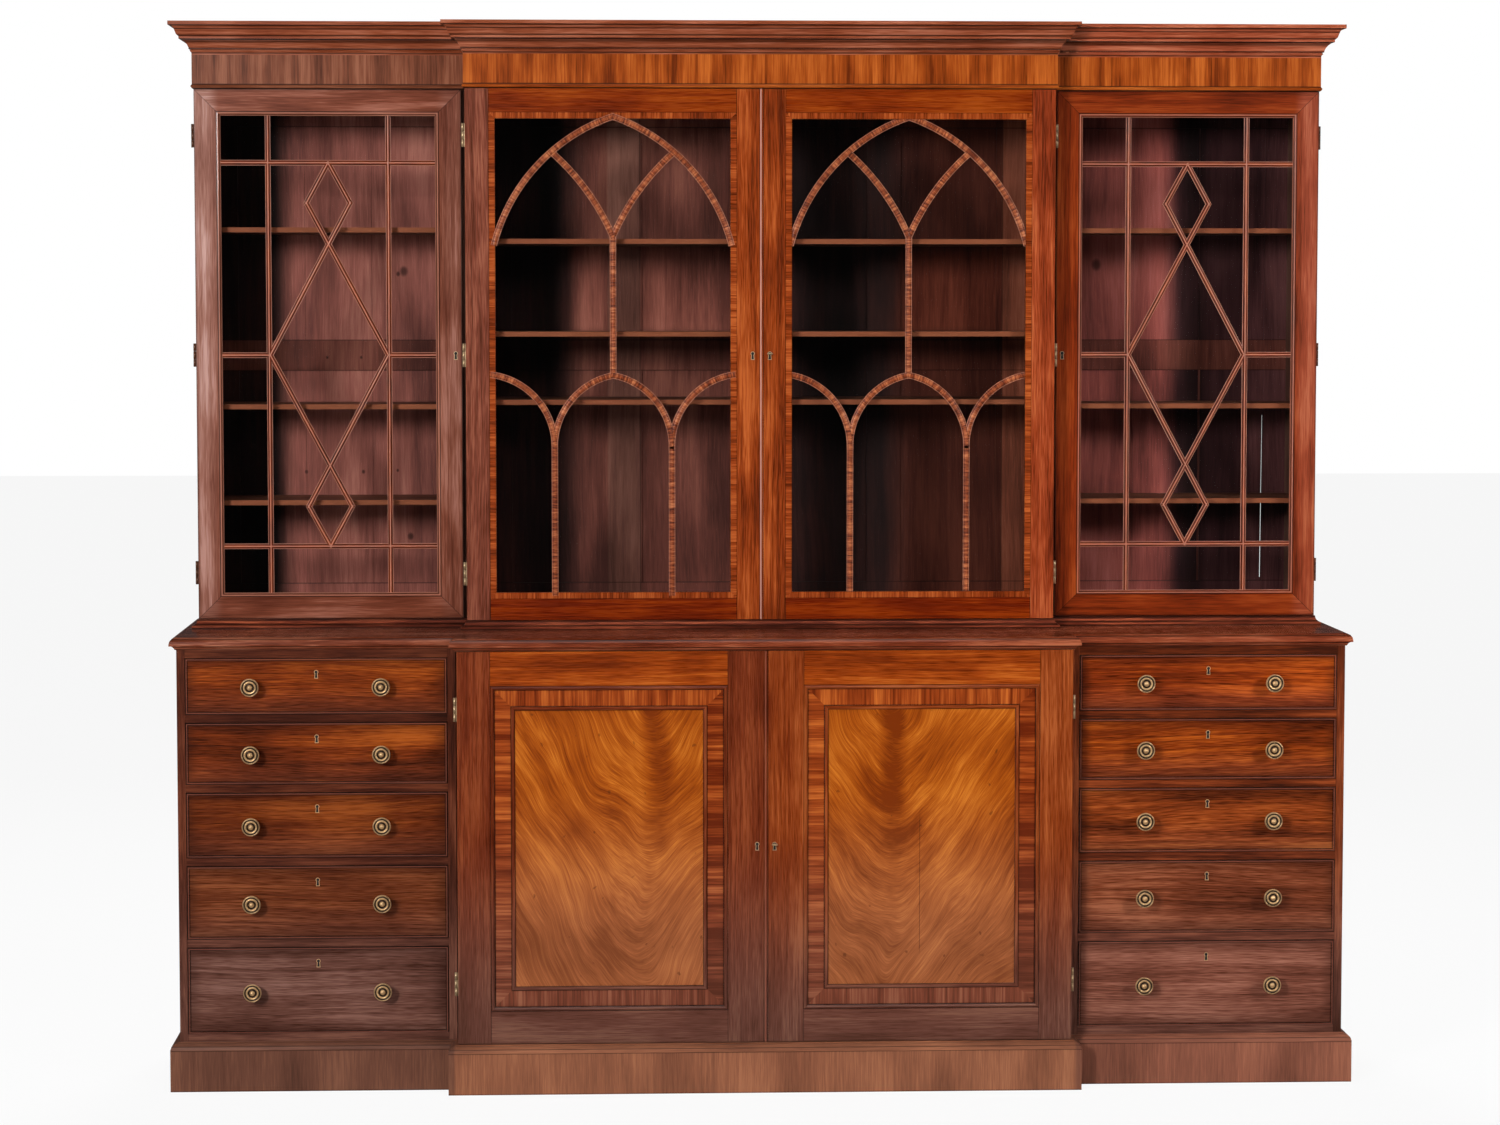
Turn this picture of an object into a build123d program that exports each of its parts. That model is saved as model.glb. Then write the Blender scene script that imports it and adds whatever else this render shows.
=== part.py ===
from build123d import *
import os
from math import atan2, degrees, sqrt

# A breakfront bookcase. A plinth carries a lower stage with ten drawers and a cupboard,
# a moulded counter, and a shallower upper stage with four glazed doors, frieze and cornice.
# Millimetres, +Z up, front towards -Y, origin on the floor at the middle of the plan.

# Plan of the lower and upper stages
wing_half_width = 1282
centre_half_width = 673
upper_wing_half_width = 1258
upper_centre_half_width = 657
break_depth = 60
wing_depth = 520
upper_setback = 228
section_gap = 3

# Boards of the carcass
side_thickness = 18
back_thickness = 12
bottom_thickness = 17
top_thickness = 19
plank_thickness = 8
plank_width = 150
plank_gap = 0.8

# Plinth
plinth_board_height = 90
plinth_moulding_height = 18
plinth_projection = 20
plinth_board_thickness = 22
plinth_frame_width = 42
plinth_rear_thickness = 20
bearer_thickness = 24

# Drawers, numbered from the top, and the rails between them
drawer_1_height = 120
drawer_2_height = 132
drawer_3_height = 140
drawer_4_height = 158
drawer_5_height = 188
drawer_rail_height = 19.5
drawer_rail_depth = 60
drawer_edge_gap = 1
drawer_side_gap = 1.5
running_gap = 0.3
drawer_front_thickness = 20
drawer_side_thickness = 10
drawer_back_thickness = 10
drawer_bottom_thickness = 7
drawer_bottom_lift = 9
drawer_box_length = 440
drawer_side_drop = 9
cockbead_width = 3
cockbead_projection = 2.5
runner_width = 18
dust_board_thickness = 6

# Counter and the waist moulding on it
counter_thickness = 27
counter_overhang = 15
counter_edge_width = 32
waist_height = 20
waist_projection = 13
waist_frame_width = 46

# Upper stage
upper_height = 1181
shelf_thickness = 11
shelf_setback = 12
shelf_fit_gap = 0.3
groove_depth = 6
wing_shelf_1_height = 875
wing_shelf_2_height = 480
wing_shelf_3_height = 265
centre_shelf_1_height = 849
centre_shelf_2_height = 643
centre_shelf_3_height = 491

# Framed backs of the upper stage
back_bottom_rail = 60
back_middle_rail = 70
back_middle_height = 552
back_top_rail = 70
wing_back_stile = 52
centre_back_stile = 78
shrinkage_gap = 4

# Frieze and cornice
frieze_overhang = 2
frieze_bead_height = 9
frieze_bead_projection = 3
frieze_height = 65
frieze_board_thickness = 18
frieze_rail_width = 52
cornice_height = 71
cornice_projection = 47

# Doors in general
door_thickness = 22
door_edge_gap = 1.5
glass_thickness = 2.5
glass_depth = 9
glass_margin = 5
rebate_width = 6
meeting_bead_width = 8
meeting_bead_projection = 3
meeting_gap = 1

# Wing doors with mitred frames and lozenge glazing bars
wing_door_gap = 9
wing_frame_width = 49.5
wing_frame_moulding = 8.5
moulding_sink = 3
bar_width = 12
bar_ridge_width = 4
bar_fillet = 3
rib_width = 3
rib_depth = 5
column_width = 98
lozenge_half_width = 48.5
lozenge_half_height = 89
lozenge_inset = 2

# Centre doors with Gothic tracery
arch_stile_width = 52
arch_meeting_stile_width = 50.5
arch_top_rail = 52.5
arch_bottom_rail = 47.5
arch_crossband_width = 14
tracery_width = 14.5
tracery_depth = 1.5
arch_lift = 5
arch_spring_drop = 268
arch_radius = 408
branch_spring_drop = 260
branch_radius = 520
branch_reach = 136
arc_overrun = 45
joint_overrun = 4
edge_overrun = 12
smallest_pane = 1000
low_arch_drop = 567
low_arch_rise = 157.6
low_arch_radius = 160.5

# Cupboard doors with a flush crossbanded panel between two beads
cupboard_stile_width = 72
cupboard_meeting_stile_width = 79
cupboard_top_rail = 75
cupboard_bottom_rail = 71
cupboard_bead_width = 9
cupboard_bead_projection = 2
cupboard_crossband_width = 36
inner_bead_projection = 3.5
panel_sink = 5
panel_thickness = 10
panel_tongue = 7
cupboard_shelf_height = 420

# Hinges
hinge_length = 52
hinge_leaf_width = 14
hinge_leaf_thickness = 1.2
hinge_leaf_gap = 0.2
knuckle_radius = 3.2
knuckle_gap = 0.4
knuckle_stand_off = 0.6
pin_radius = 1.3
pin_bore_radius = 2
upper_hinge_inset = 102
cupboard_hinge_inset = 128

# Knobs, escutcheons and locks
knob_radius = 20
knob_projection = 38
knob_spread = 142
rose_radius = 11
neck_radius = 6
neck_length = 20
rim_thickness = 7
escutcheon_height = 20
escutcheon_width = 12
escutcheon_thickness = 0.8
keyhole_height = 9
keyhole_width = 3
drawer_escutcheon_drop = 34
lock_width = 40
lock_height = 50
lock_thickness = 9
drawer_lock_drop = 3
drawer_lock_height = 46
door_lock_height = 590
cupboard_lock_height = 433
lock_edge_margin = 14

# Overrun of cutting shapes past what they cut
overrun = 200

# Straight facets that stand for a curve
moulding_facets = 3
bead_facets = 2
arch_facets = 5
branch_facets = 3
low_arch_facets = 4
barrel_sides = 6
knob_sides = 8

# Places that follow from the sizes
back_y = (plinth_projection + break_depth + wing_depth) / 2
wing_front_y = back_y - wing_depth
centre_front_y = wing_front_y - break_depth
upper_wing_front_y = wing_front_y + upper_setback
upper_centre_front_y = upper_wing_front_y - break_depth
hinge_gap = 2 * hinge_leaf_thickness + hinge_leaf_gap
door_case_step = door_thickness + hinge_gap

case_bottom_z = plinth_board_height + plinth_moulding_height
drawer_heights = (drawer_1_height, drawer_2_height, drawer_3_height, drawer_4_height, drawer_5_height)
drawer_pitches = [height + 2 * drawer_edge_gap + drawer_rail_height for height in drawer_heights]
drawer_stack = sum(drawer_pitches) - drawer_rail_height
case_floor_z = case_bottom_z + bottom_thickness
case_top_z = case_floor_z + drawer_stack + top_thickness
counter_z = case_top_z + counter_thickness
upper_bottom_z = counter_z + waist_height
upper_top_z = upper_bottom_z + upper_height
frieze_top_z = upper_top_z + frieze_bead_height + frieze_height

wing_inner_x = centre_half_width + section_gap
drawer_bay = (wing_inner_x + side_thickness, wing_half_width - side_thickness)
upper_wing_inner_x = upper_centre_half_width + section_gap
upper_bay = (upper_wing_inner_x + side_thickness, upper_wing_half_width - side_thickness)
hinge_axis_out = knuckle_stand_off + knuckle_radius


# Small helpers

def block(x0, x1, y0, y1, z0, z1):
    """A board between two opposite corners."""
    return Pos((x0 + x1) / 2, (y0 + y1) / 2, (z0 + z1) / 2) * Box(x1 - x0, y1 - y0, z1 - z0)


def both_sides(solids):
    """The given solids and their mirror images on the left."""
    return list(solids) + [mirror(solid, about=Plane.YZ) for solid in solids]


def polygon(*corners):
    """A flat face with straight sides."""
    return make_face(Polyline(*corners, close=True))


def facets(arc, count):
    """Points along a curve, evenly spaced, with both its ends."""
    return [arc @ (index / count) for index in range(count + 1)]


def prism(plane, radius, sides, start, end):
    """A bar with a regular section, from start to end along the plane's normal."""
    return extrude(plane.offset(start) * RegularPolygon(radius, sides), end - start)


def mitred_lengths(section, corners, rise, closed=False):
    """Lengths of a section along a line of corners, mitred where two lengths meet.

    The section's y runs along rise, and its x runs square to that, to the right of the way.
    """
    ends = corners[1:] + corners[:1] if closed else corners[1:]
    pairs = list(zip(corners, ends))
    ways = [(end - start).normalized() for start, end in pairs]
    lengths = []
    for index, (start, end) in enumerate(pairs):
        way = ways[index]
        before = ways[index - 1] if closed or index > 0 else way
        after = ways[(index + 1) % len(ways)] if closed or index + 1 < len(ways) else way
        place = Plane(origin=end + way * overrun, x_dir=way.cross(rise), z_dir=way * -1)
        bar = extrude(place * section, (end - start).length + 2 * overrun)
        bar = split(bar, bisect_by=Plane(origin=start, z_dir=before + way), keep=Keep.TOP)
        bar = split(bar, bisect_by=Plane(origin=end, z_dir=after + way), keep=Keep.BOTTOM)
        lengths.append(bar)
    return lengths


def breakfront_lengths(section, wing_x, centre_x, wing_y, centre_y, z):
    """A moulding round the front and both ends of the breakfront plan."""
    right = [(centre_x, centre_y), (centre_x, wing_y), (wing_x, wing_y), (wing_x, back_y)]
    left = [(-x, y) for x, y in reversed(right)]
    corners = [Vector(x, y, z) for x, y in left + right]
    return mitred_lengths(section, corners, Vector(0, 0, 1))


def frame_lengths(section, x0, x1, z0, z1, y):
    """A mitred frame round an upright rectangle, its section's x inwards and y to the back."""
    corners = [Vector(x0, y, z0), Vector(x1, y, z0), Vector(x1, y, z1), Vector(x0, y, z1)]
    return mitred_lengths(section, corners, Vector(0, 1, 0), closed=True)


# Sections of the mouldings, with x outwards and y up

def plinth_board_section():
    inner = plinth_projection - plinth_board_thickness
    return polygon((inner, 0), (plinth_projection, 0), (plinth_projection, plinth_board_height),
                   (inner, plinth_board_height))


def plinth_moulding_section():
    lip_share, shelf_share, bulge_share = 0.12, 0.25, 0.7
    inner = plinth_projection - plinth_frame_width
    lip = plinth_moulding_height * lip_share
    shelf = plinth_projection * shelf_share
    top = plinth_moulding_height - lip
    bulge = (shelf + (plinth_projection - shelf) * bulge_share, lip + (top - lip) * bulge_share)
    ovolo = facets(ThreePointArc((plinth_projection, lip), bulge, (shelf, top)), moulding_facets)
    return polygon((inner, 0), (plinth_projection, 0), *ovolo,
                   (shelf, plinth_moulding_height), (inner, plinth_moulding_height))


def counter_section():
    foot_share, cove_share, tip_share, round_share = 0.2, 0.72, 0.44, 0.12
    inner = counter_overhang - counter_edge_width
    foot = (counter_overhang * foot_share, 0)
    cove = (counter_overhang * cove_share, counter_thickness * (tip_share - round_share))
    tip = (counter_overhang, counter_thickness * tip_share)
    crown = (counter_overhang * foot_share, counter_thickness)
    hollow = facets(RadiusArc(foot, cove, counter_overhang), moulding_facets)
    nose = facets(RadiusArc(tip, crown, -counter_overhang), moulding_facets)
    return polygon((inner, 0), *hollow, (counter_overhang, cove[1]), *nose, (inner, counter_thickness))


def waist_section():
    lip_share, top_share, shelf_share, hollow_share = 0.3, 0.85, 0.12, 0.35
    inner = waist_projection - waist_frame_width
    lip = waist_height * lip_share
    shelf = waist_projection * shelf_share
    top = waist_height * top_share
    hollow = (shelf + (waist_projection - shelf) * hollow_share, lip + (top - lip) * hollow_share)
    cove = facets(ThreePointArc((waist_projection, lip), hollow, (shelf, top)), moulding_facets)
    return polygon((inner, 0), (waist_projection, 0), *cove, (shelf, waist_height), (inner, waist_height))


def frieze_section():
    bead = facets(ThreePointArc((0, 0), (frieze_bead_projection, frieze_bead_height / 2), (0, frieze_bead_height)),
                  bead_facets)
    top = frieze_bead_height + frieze_height
    return polygon((-frieze_rail_width, 0), *bead, (0, top), (-frieze_board_thickness, top),
                   (-frieze_board_thickness, frieze_bead_height), (-frieze_rail_width, frieze_bead_height))


def cornice_section():
    """Bead, cove, stepped corona and crowning ogee, as shares of projection and height."""
    bead_foot_share, bead_top_share, bead_out_share = 0.06, 0.17, 0.08
    cove_in_share, cove_foot_share, cove_top_share, cove_out_share = 0.12, 0.21, 0.43, 0.38
    drip_share, corona_share, ogee_foot_share = 0.47, 0.54, 0.54
    ogee_middle_share, ogee_middle_out_share = 0.7, 0.7
    lip_share, ogee_out_share, ledge_share, heel_share = 0.88, 0.9, 0.5, 0.3

    def at(out_share, up_share):
        return cornice_projection * out_share, cornice_height * up_share

    inner = -frieze_board_thickness
    heel = cornice_height * heel_share
    middle = at(ogee_middle_out_share, ogee_middle_share)
    curve = cornice_height * cove_foot_share
    bead = ThreePointArc(at(0, bead_foot_share), at(bead_out_share, (bead_foot_share + bead_top_share) / 2),
                         at(0, bead_top_share))
    cove = RadiusArc(at(cove_in_share, cove_foot_share), at(cove_out_share, cove_top_share),
                     cornice_height * cove_out_share)
    ogee_foot = RadiusArc(at(corona_share, ogee_foot_share), middle, -curve)
    ogee_head = RadiusArc(middle, at(ogee_out_share, lip_share), curve)
    return polygon((inner, heel), (inner, 0), (0, 0), *facets(bead, bead_facets),
                   at(cove_in_share, bead_top_share), *facets(cove, moulding_facets),
                   at(cove_out_share, drip_share), at(corona_share, drip_share),
                   *facets(ogee_foot, bead_facets)[:-1], *facets(ogee_head, bead_facets),
                   at(1, lip_share), at(1, 1), at(ledge_share, 1))


# The plinth

def plinth():
    """Front and end boards, moulding frame, rear board and bearers under the uprights."""
    plan = (wing_half_width, centre_half_width, wing_front_y, centre_front_y)
    boards = breakfront_lengths(plinth_board_section(), *plan, 0)
    mouldings = breakfront_lengths(plinth_moulding_section(), *plan, plinth_board_height)
    end_x = wing_half_width + plinth_projection - plinth_board_thickness
    rear_y = back_y - plinth_rear_thickness
    rear = block(-end_x, end_x, rear_y, back_y, 0, plinth_board_height)
    frame_x = wing_half_width + plinth_projection - plinth_frame_width
    frame_y = back_y - plinth_frame_width
    rear_frame = block(-frame_x, frame_x, frame_y, back_y, plinth_board_height, case_bottom_z)
    inner_y = wing_front_y - plinth_projection + plinth_board_thickness
    outer_bearer = block(wing_inner_x, wing_inner_x + bearer_thickness, inner_y, rear_y, 0, plinth_board_height)
    middle_y = centre_front_y - plinth_projection + plinth_board_thickness
    middle_bearer = block(-bearer_thickness / 2, bearer_thickness / 2, middle_y, rear_y, 0, plinth_board_height)
    return boards + mouldings + [rear, rear_frame, middle_bearer] + both_sides([outer_bearer])


# The lower stage

def lower_sides():
    """The uprights of the two drawer sections and of the cupboard between them."""
    outer = block(drawer_bay[1], wing_half_width, wing_front_y, back_y, case_bottom_z, case_top_z)
    inner = block(wing_inner_x, drawer_bay[0], wing_front_y, back_y, case_bottom_z, case_top_z)
    cupboard = block(centre_half_width - side_thickness, centre_half_width,
                     centre_front_y + door_case_step, back_y, case_bottom_z, case_top_z)
    return both_sides([outer, inner, cupboard])


def lower_boards():
    """The bottom and top boards of the three sections."""
    rear = back_y - back_thickness
    inside = centre_half_width - side_thickness
    front = centre_front_y + door_case_step
    solids = []
    for low, high in ((case_bottom_z, case_floor_z), (case_top_z - top_thickness, case_top_z)):
        solids += both_sides([block(*drawer_bay, wing_front_y, rear, low, high)])
        solids.append(block(-inside, inside, front, rear, low, high))
    return solids


def planks(x0, x1, y0, y1, z0, z1):
    """Upright planks side by side, as near the usual width as fills the space."""
    count = max(1, round((x1 - x0) / plank_width))
    width = (x1 - x0 + plank_gap) / count
    return [block(x0 + index * width, x0 + (index + 1) * width - plank_gap, y0, y1, z0, z1)
            for index in range(count)]


def lower_backs():
    """Planked backs let in between the uprights."""
    inside = centre_half_width - side_thickness
    rear = back_y - back_thickness
    wings = planks(*drawer_bay, rear, back_y, case_bottom_z, case_top_z)
    centre = planks(-inside, inside, rear, back_y, case_bottom_z, case_top_z)
    return both_sides(wings) + centre


def drawer_floor(index):
    """Height of the bottom of a drawer's opening."""
    return case_floor_z + sum(drawer_pitches[index + 1:])


def drawer_rails():
    rails = []
    for index in range(len(drawer_heights) - 1):
        top = drawer_floor(index)
        rails.append(block(*drawer_bay, wing_front_y, wing_front_y + drawer_rail_depth,
                           top - drawer_rail_height, top))
    return both_sides(rails)


def drawer_runners():
    """Runners behind each rail, with a dust board between them."""
    solids = []
    front = wing_front_y + drawer_rail_depth
    rear = back_y - back_thickness
    left, right = drawer_bay
    for index in range(len(drawer_heights) - 1):
        top = drawer_floor(index)
        low = top - drawer_rail_height
        middle = (top + low) / 2
        solids.append(block(left, left + runner_width, front, rear, low, top))
        solids.append(block(right - runner_width, right, front, rear, low, top))
        solids.append(block(left + runner_width, right - runner_width, front, rear,
                            middle - dust_board_thickness / 2, middle + dust_board_thickness / 2))
    return both_sides(solids)


def cupboard_shelf():
    """The shelf in the cupboard and the two battens that carry it."""
    inside = centre_half_width - side_thickness
    front = centre_front_y + door_case_step + shelf_setback
    rear = back_y - back_thickness
    top = case_floor_z + cupboard_shelf_height
    low = top - side_thickness
    shelf = block(shelf_fit_gap - inside, inside - shelf_fit_gap, front, rear, low, top)
    batten = block(inside - runner_width, inside, front, rear, low - drawer_rail_height, low)
    return [shelf] + both_sides([batten])


def counter_top():
    """Three boards with a mitred moulded edge round their front and ends."""
    edge = counter_edge_width - counter_overhang
    edging = breakfront_lengths(counter_section(), wing_half_width, centre_half_width,
                                wing_front_y, centre_front_y, case_top_z)
    inside = centre_half_width - edge
    centre = block(-inside, inside, centre_front_y + edge, back_y, case_top_z, counter_z)
    wing = block(inside, wing_half_width - edge, wing_front_y + edge, back_y, case_top_z, counter_z)
    return edging + [centre] + both_sides([wing])


# The upper stage

def waist_moulding():
    """The moulded frame that the upper stage stands on."""
    lengths = breakfront_lengths(waist_section(), upper_wing_half_width, upper_centre_half_width,
                                 upper_wing_front_y, upper_centre_front_y, counter_z)
    inside = upper_wing_half_width + waist_projection - waist_frame_width
    rear = block(-inside, inside, back_y - waist_frame_width, back_y, counter_z, upper_bottom_z)
    return lengths + [rear]


def shelf_floors(heights):
    """Undersides of shelves given by their tops above the foot of the upper stage."""
    return [upper_bottom_z + height - shelf_thickness for height in heights]


wing_shelf_floors = shelf_floors((wing_shelf_1_height, wing_shelf_2_height, wing_shelf_3_height))
centre_shelf_floors = shelf_floors((centre_shelf_1_height, centre_shelf_2_height, centre_shelf_3_height))


def grooved_side(x0, x1, front, floors, inner_x, inward):
    """An upright with a groove for the end of each shelf in the face at inner_x."""
    side = block(x0, x1, front, back_y, upper_bottom_z, upper_top_z)
    for low in floors:
        ends = sorted((inner_x, inner_x - inward * groove_depth))
        side -= block(*ends, front + shelf_setback, back_y - back_thickness, low, low + shelf_thickness)
    return side


def upper_sides():
    left, right = upper_bay
    wing_front = upper_wing_front_y + door_case_step
    centre_front = upper_centre_front_y + door_case_step
    inside = upper_centre_half_width - side_thickness
    outer = grooved_side(right, upper_wing_half_width, wing_front, wing_shelf_floors, right, -1)
    inner = grooved_side(upper_wing_inner_x, left, wing_front, wing_shelf_floors, left, 1)
    centre = grooved_side(inside, upper_centre_half_width, centre_front, centre_shelf_floors, inside, -1)
    return both_sides([outer, inner, centre])


def upper_boards():
    """The bottom and top boards of the three bookcase sections."""
    rear = back_y - back_thickness
    inside = upper_centre_half_width - side_thickness
    wing_front = upper_wing_front_y + door_case_step
    centre_front = upper_centre_front_y + door_case_step
    solids = []
    for low in (upper_bottom_z, upper_top_z - side_thickness):
        solids += both_sides([block(*upper_bay, wing_front, rear, low, low + side_thickness)])
        solids.append(block(-inside, inside, centre_front, rear, low, low + side_thickness))
    return solids


def shelves(inner, outer, front, floors):
    """Shelves whose ends run in the grooves."""
    reach = groove_depth - shelf_fit_gap
    rear = back_y - back_thickness - shelf_fit_gap
    return [block(inner - reach, outer + reach, front + door_case_step + shelf_setback + shelf_fit_gap, rear,
                  low, low + shelf_thickness) for low in floors]


def wing_shelves():
    return both_sides(shelves(*upper_bay, upper_wing_front_y, wing_shelf_floors))


def centre_shelves():
    inside = upper_centre_half_width - side_thickness
    return shelves(-inside, inside, upper_centre_front_y, centre_shelf_floors)


def back_rails(x0, x1):
    """Bottom, middle and top rail of a framed back, and the heights between them."""
    middle = upper_bottom_z + back_middle_height
    levels = ((upper_bottom_z, upper_bottom_z + back_bottom_rail), (middle, middle + back_middle_rail),
              (upper_top_z - back_top_rail, upper_top_z))
    rails = [block(x0, x1, back_y - back_thickness, back_y, low, high) for low, high in levels]
    bays = [(below[1], above[0]) for below, above in zip(levels, levels[1:])]
    return rails, bays


def wing_backs():
    """Each wing has two stiles, three rails and two tiers of upright planks.

    One plank in the lower tier on the right has shrunk away from its neighbour.
    """
    left, right = upper_bay
    inner, outer = left + wing_back_stile, right - wing_back_stile
    rails, bays = back_rails(inner, outer)
    rear, face = back_y, back_y - back_thickness
    stiles = [block(left, inner, face, rear, upper_bottom_z, upper_top_z),
              block(outer, right, face, rear, upper_bottom_z, upper_top_z)]
    plank_y = (rear - plank_thickness, rear)
    tiers = [planks(inner, outer, *plank_y, *bay) for bay in bays]
    shrunk = tiers[0][-1].bounding_box()
    narrow = block(shrunk.min.X + shrinkage_gap, shrunk.max.X, *plank_y, shrunk.min.Z, shrunk.max.Z)
    right_tiers = tiers[0][:-1] + [narrow] + tiers[1]
    left_tiers = [mirror(plank, about=Plane.YZ) for plank in tiers[0] + tiers[1]]
    return both_sides(rails + stiles) + right_tiers + left_tiers


def centre_back():
    """A framed back with four panels in each of two tiers."""
    inside = upper_centre_half_width - side_thickness
    panels_across = 4
    pitch = (2 * inside - centre_back_stile) / panels_across
    face = back_y - back_thickness
    lefts = [index * pitch - inside for index in range(panels_across + 1)]
    stiles = [block(x, x + centre_back_stile, face, back_y, upper_bottom_z, upper_top_z) for x in lefts]
    solids = list(stiles)
    for x in lefts[:-1]:
        rails, bays = back_rails(x + centre_back_stile, x + pitch)
        solids += rails
        solids += [block(x + centre_back_stile, x + pitch, back_y - plank_thickness, back_y, *bay) for bay in bays]
    return solids


def frieze():
    """The frieze with its bead, and the rear rail that ties its ends."""
    lengths = breakfront_lengths(
        frieze_section(), upper_wing_half_width + frieze_overhang, upper_centre_half_width + frieze_overhang,
        upper_wing_front_y - frieze_overhang, upper_centre_front_y - frieze_overhang, upper_top_z)
    inside = upper_wing_half_width + frieze_overhang - frieze_rail_width
    rear = block(-inside, inside, back_y - frieze_board_thickness, back_y, upper_top_z, frieze_top_z)
    return lengths + [rear]


def cornice():
    return breakfront_lengths(
        cornice_section(), upper_wing_half_width + frieze_overhang, upper_centre_half_width + frieze_overhang,
        upper_wing_front_y - frieze_overhang, upper_centre_front_y - frieze_overhang, frieze_top_z)


# Glazed doors of the upper stage

door_bottom_z = upper_bottom_z + door_edge_gap
door_top_z = upper_top_z - door_edge_gap


def glass_sheet(x0, x1, z0, z1, front):
    """Glass that fills the rebate behind an opening."""
    return block(x0 - glass_margin, x1 + glass_margin, front + glass_depth, front + glass_depth + glass_thickness,
                 z0 - glass_margin, z1 + glass_margin)


def panes_between(sheet, ribs):
    """The panes that the ribs part the sheet into, without the chips where bars cross."""
    return [pane for pane in (sheet - ribs).solids() if pane.volume > smallest_pane]


def rebate(x0, x1, z0, z1, front):
    """The step cut in the back of a frame for its glass."""
    return block(x0 - rebate_width, x1 + rebate_width, front + glass_depth, front + door_thickness,
                 z0 - rebate_width, z1 + rebate_width)


def wing_frame_section():
    """Flat face and sunk ovolo, with x inwards and y to the back."""
    full = wing_frame_width + wing_frame_moulding
    bulge_share = 0.75
    bulge = (wing_frame_width + wing_frame_moulding * bulge_share, moulding_sink * (1 - bulge_share))
    ovolo = facets(ThreePointArc((wing_frame_width, 0), bulge, (full, moulding_sink)), moulding_facets)
    return polygon((0, 0), *ovolo, (full, door_thickness), (0, door_thickness))


def bar_section():
    """Ridged bar between two fillets, with x across the bar and y to the back."""
    half, ridge = bar_width / 2, bar_ridge_width / 2
    return polygon((-half, glass_depth), (-half, glass_depth - bar_fillet), (-ridge, moulding_sink),
                   (ridge, moulding_sink), (half, glass_depth - bar_fillet), (half, glass_depth))


def rib_section():
    """The thin tongue behind a bar, between the panes."""
    return polygon((-rib_width / 2, glass_depth), (rib_width / 2, glass_depth),
                   (rib_width / 2, glass_depth + rib_depth), (-rib_width / 2, glass_depth + rib_depth))


def lozenge_lines(x0, x1, z0, z1, front, reach):
    """Centre lines of the glazing bars: a grid run on past the opening by reach, and crossed lozenges."""
    middle_x, middle_z = (x0 + x1) / 2, (z0 + z1) / 2
    step = column_width + bar_width / 2
    left, right, low, high = x0 + step, x1 - step, z0 + step, z1 - step

    def line(*places):
        return [Vector(x, front, z) for x, z in places]

    lines = [line((x, z0 - reach), (x, z1 + reach)) for x in (left, right)]
    lines += [line((x0 - reach, z), (x1 + reach, z)) for z in (low, high)]
    lines += [line((x0 - reach, middle_z), (left, middle_z)), line((right, middle_z), (x1 + reach, middle_z))]
    for side in (1, -1):
        near = middle_x + side * lozenge_half_width
        far = middle_x - side * ((right - left) / 2 - lozenge_inset)
        lines.append(line((middle_x, high), (near, high - lozenge_half_height), (far, middle_z),
                          (near, low + lozenge_half_height), (middle_x, low)))
    return lines


def bars_along(lines, section):
    """The section run along each line and joined into one lattice."""
    lengths = []
    for line in lines:
        lengths += mitred_lengths(section, line, Vector(0, 1, 0))
    lattice = lengths[0]
    for length in lengths[1:]:
        lattice += length
    return lattice


def wing_door():
    """Frame, glazing bars and panes of the right wing door."""
    front = upper_wing_front_y
    x0, x1 = upper_centre_half_width + wing_door_gap, upper_wing_half_width - door_edge_gap
    full = wing_frame_width + wing_frame_moulding
    opening = (x0 + full, x1 - full, door_bottom_z + full, door_top_z - full)
    cut = rebate(*opening, front)
    frame = [length - cut for length in frame_lengths(wing_frame_section(), x0, x1, door_bottom_z, door_top_z, front)]
    ribs = bars_along(lozenge_lines(*opening, front, glass_margin), rib_section())
    bars = bars_along(lozenge_lines(*opening, front, 0), bar_section()) + ribs
    return frame, [bars], panes_between(glass_sheet(*opening, front), ribs)


def arc_band(start, end, radius, count, extra, width):
    """A strip in count straight lengths along the arc from start down to end, run on past both by extra."""
    chord = end - start
    side = 1 if end.X > start.X else -1
    reach = sqrt(radius ** 2 - (chord.length / 2) ** 2)
    centre = (start + end) / 2 + Vector(chord.Y, -chord.X).normalized() * (side * reach)
    spare = degrees(extra / radius) * side
    first = degrees(atan2(start.Y - centre.Y, start.X - centre.X)) + spare
    sweep = degrees(atan2(end.Y - centre.Y, end.X - centre.X)) - spare - first
    inner, outer = [facets(CenterArc((centre.X, centre.Y), size, first, sweep), count)
                    for size in (radius - width / 2, radius + width / 2)]
    return polygon(*inner, *reversed(outer))


def upright_strip(x, top, bottom, width):
    """A strip of the given width straight down from top to bottom."""
    return polygon((x - width / 2, top), (x + width / 2, top), (x + width / 2, bottom), (x - width / 2, bottom))


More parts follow.
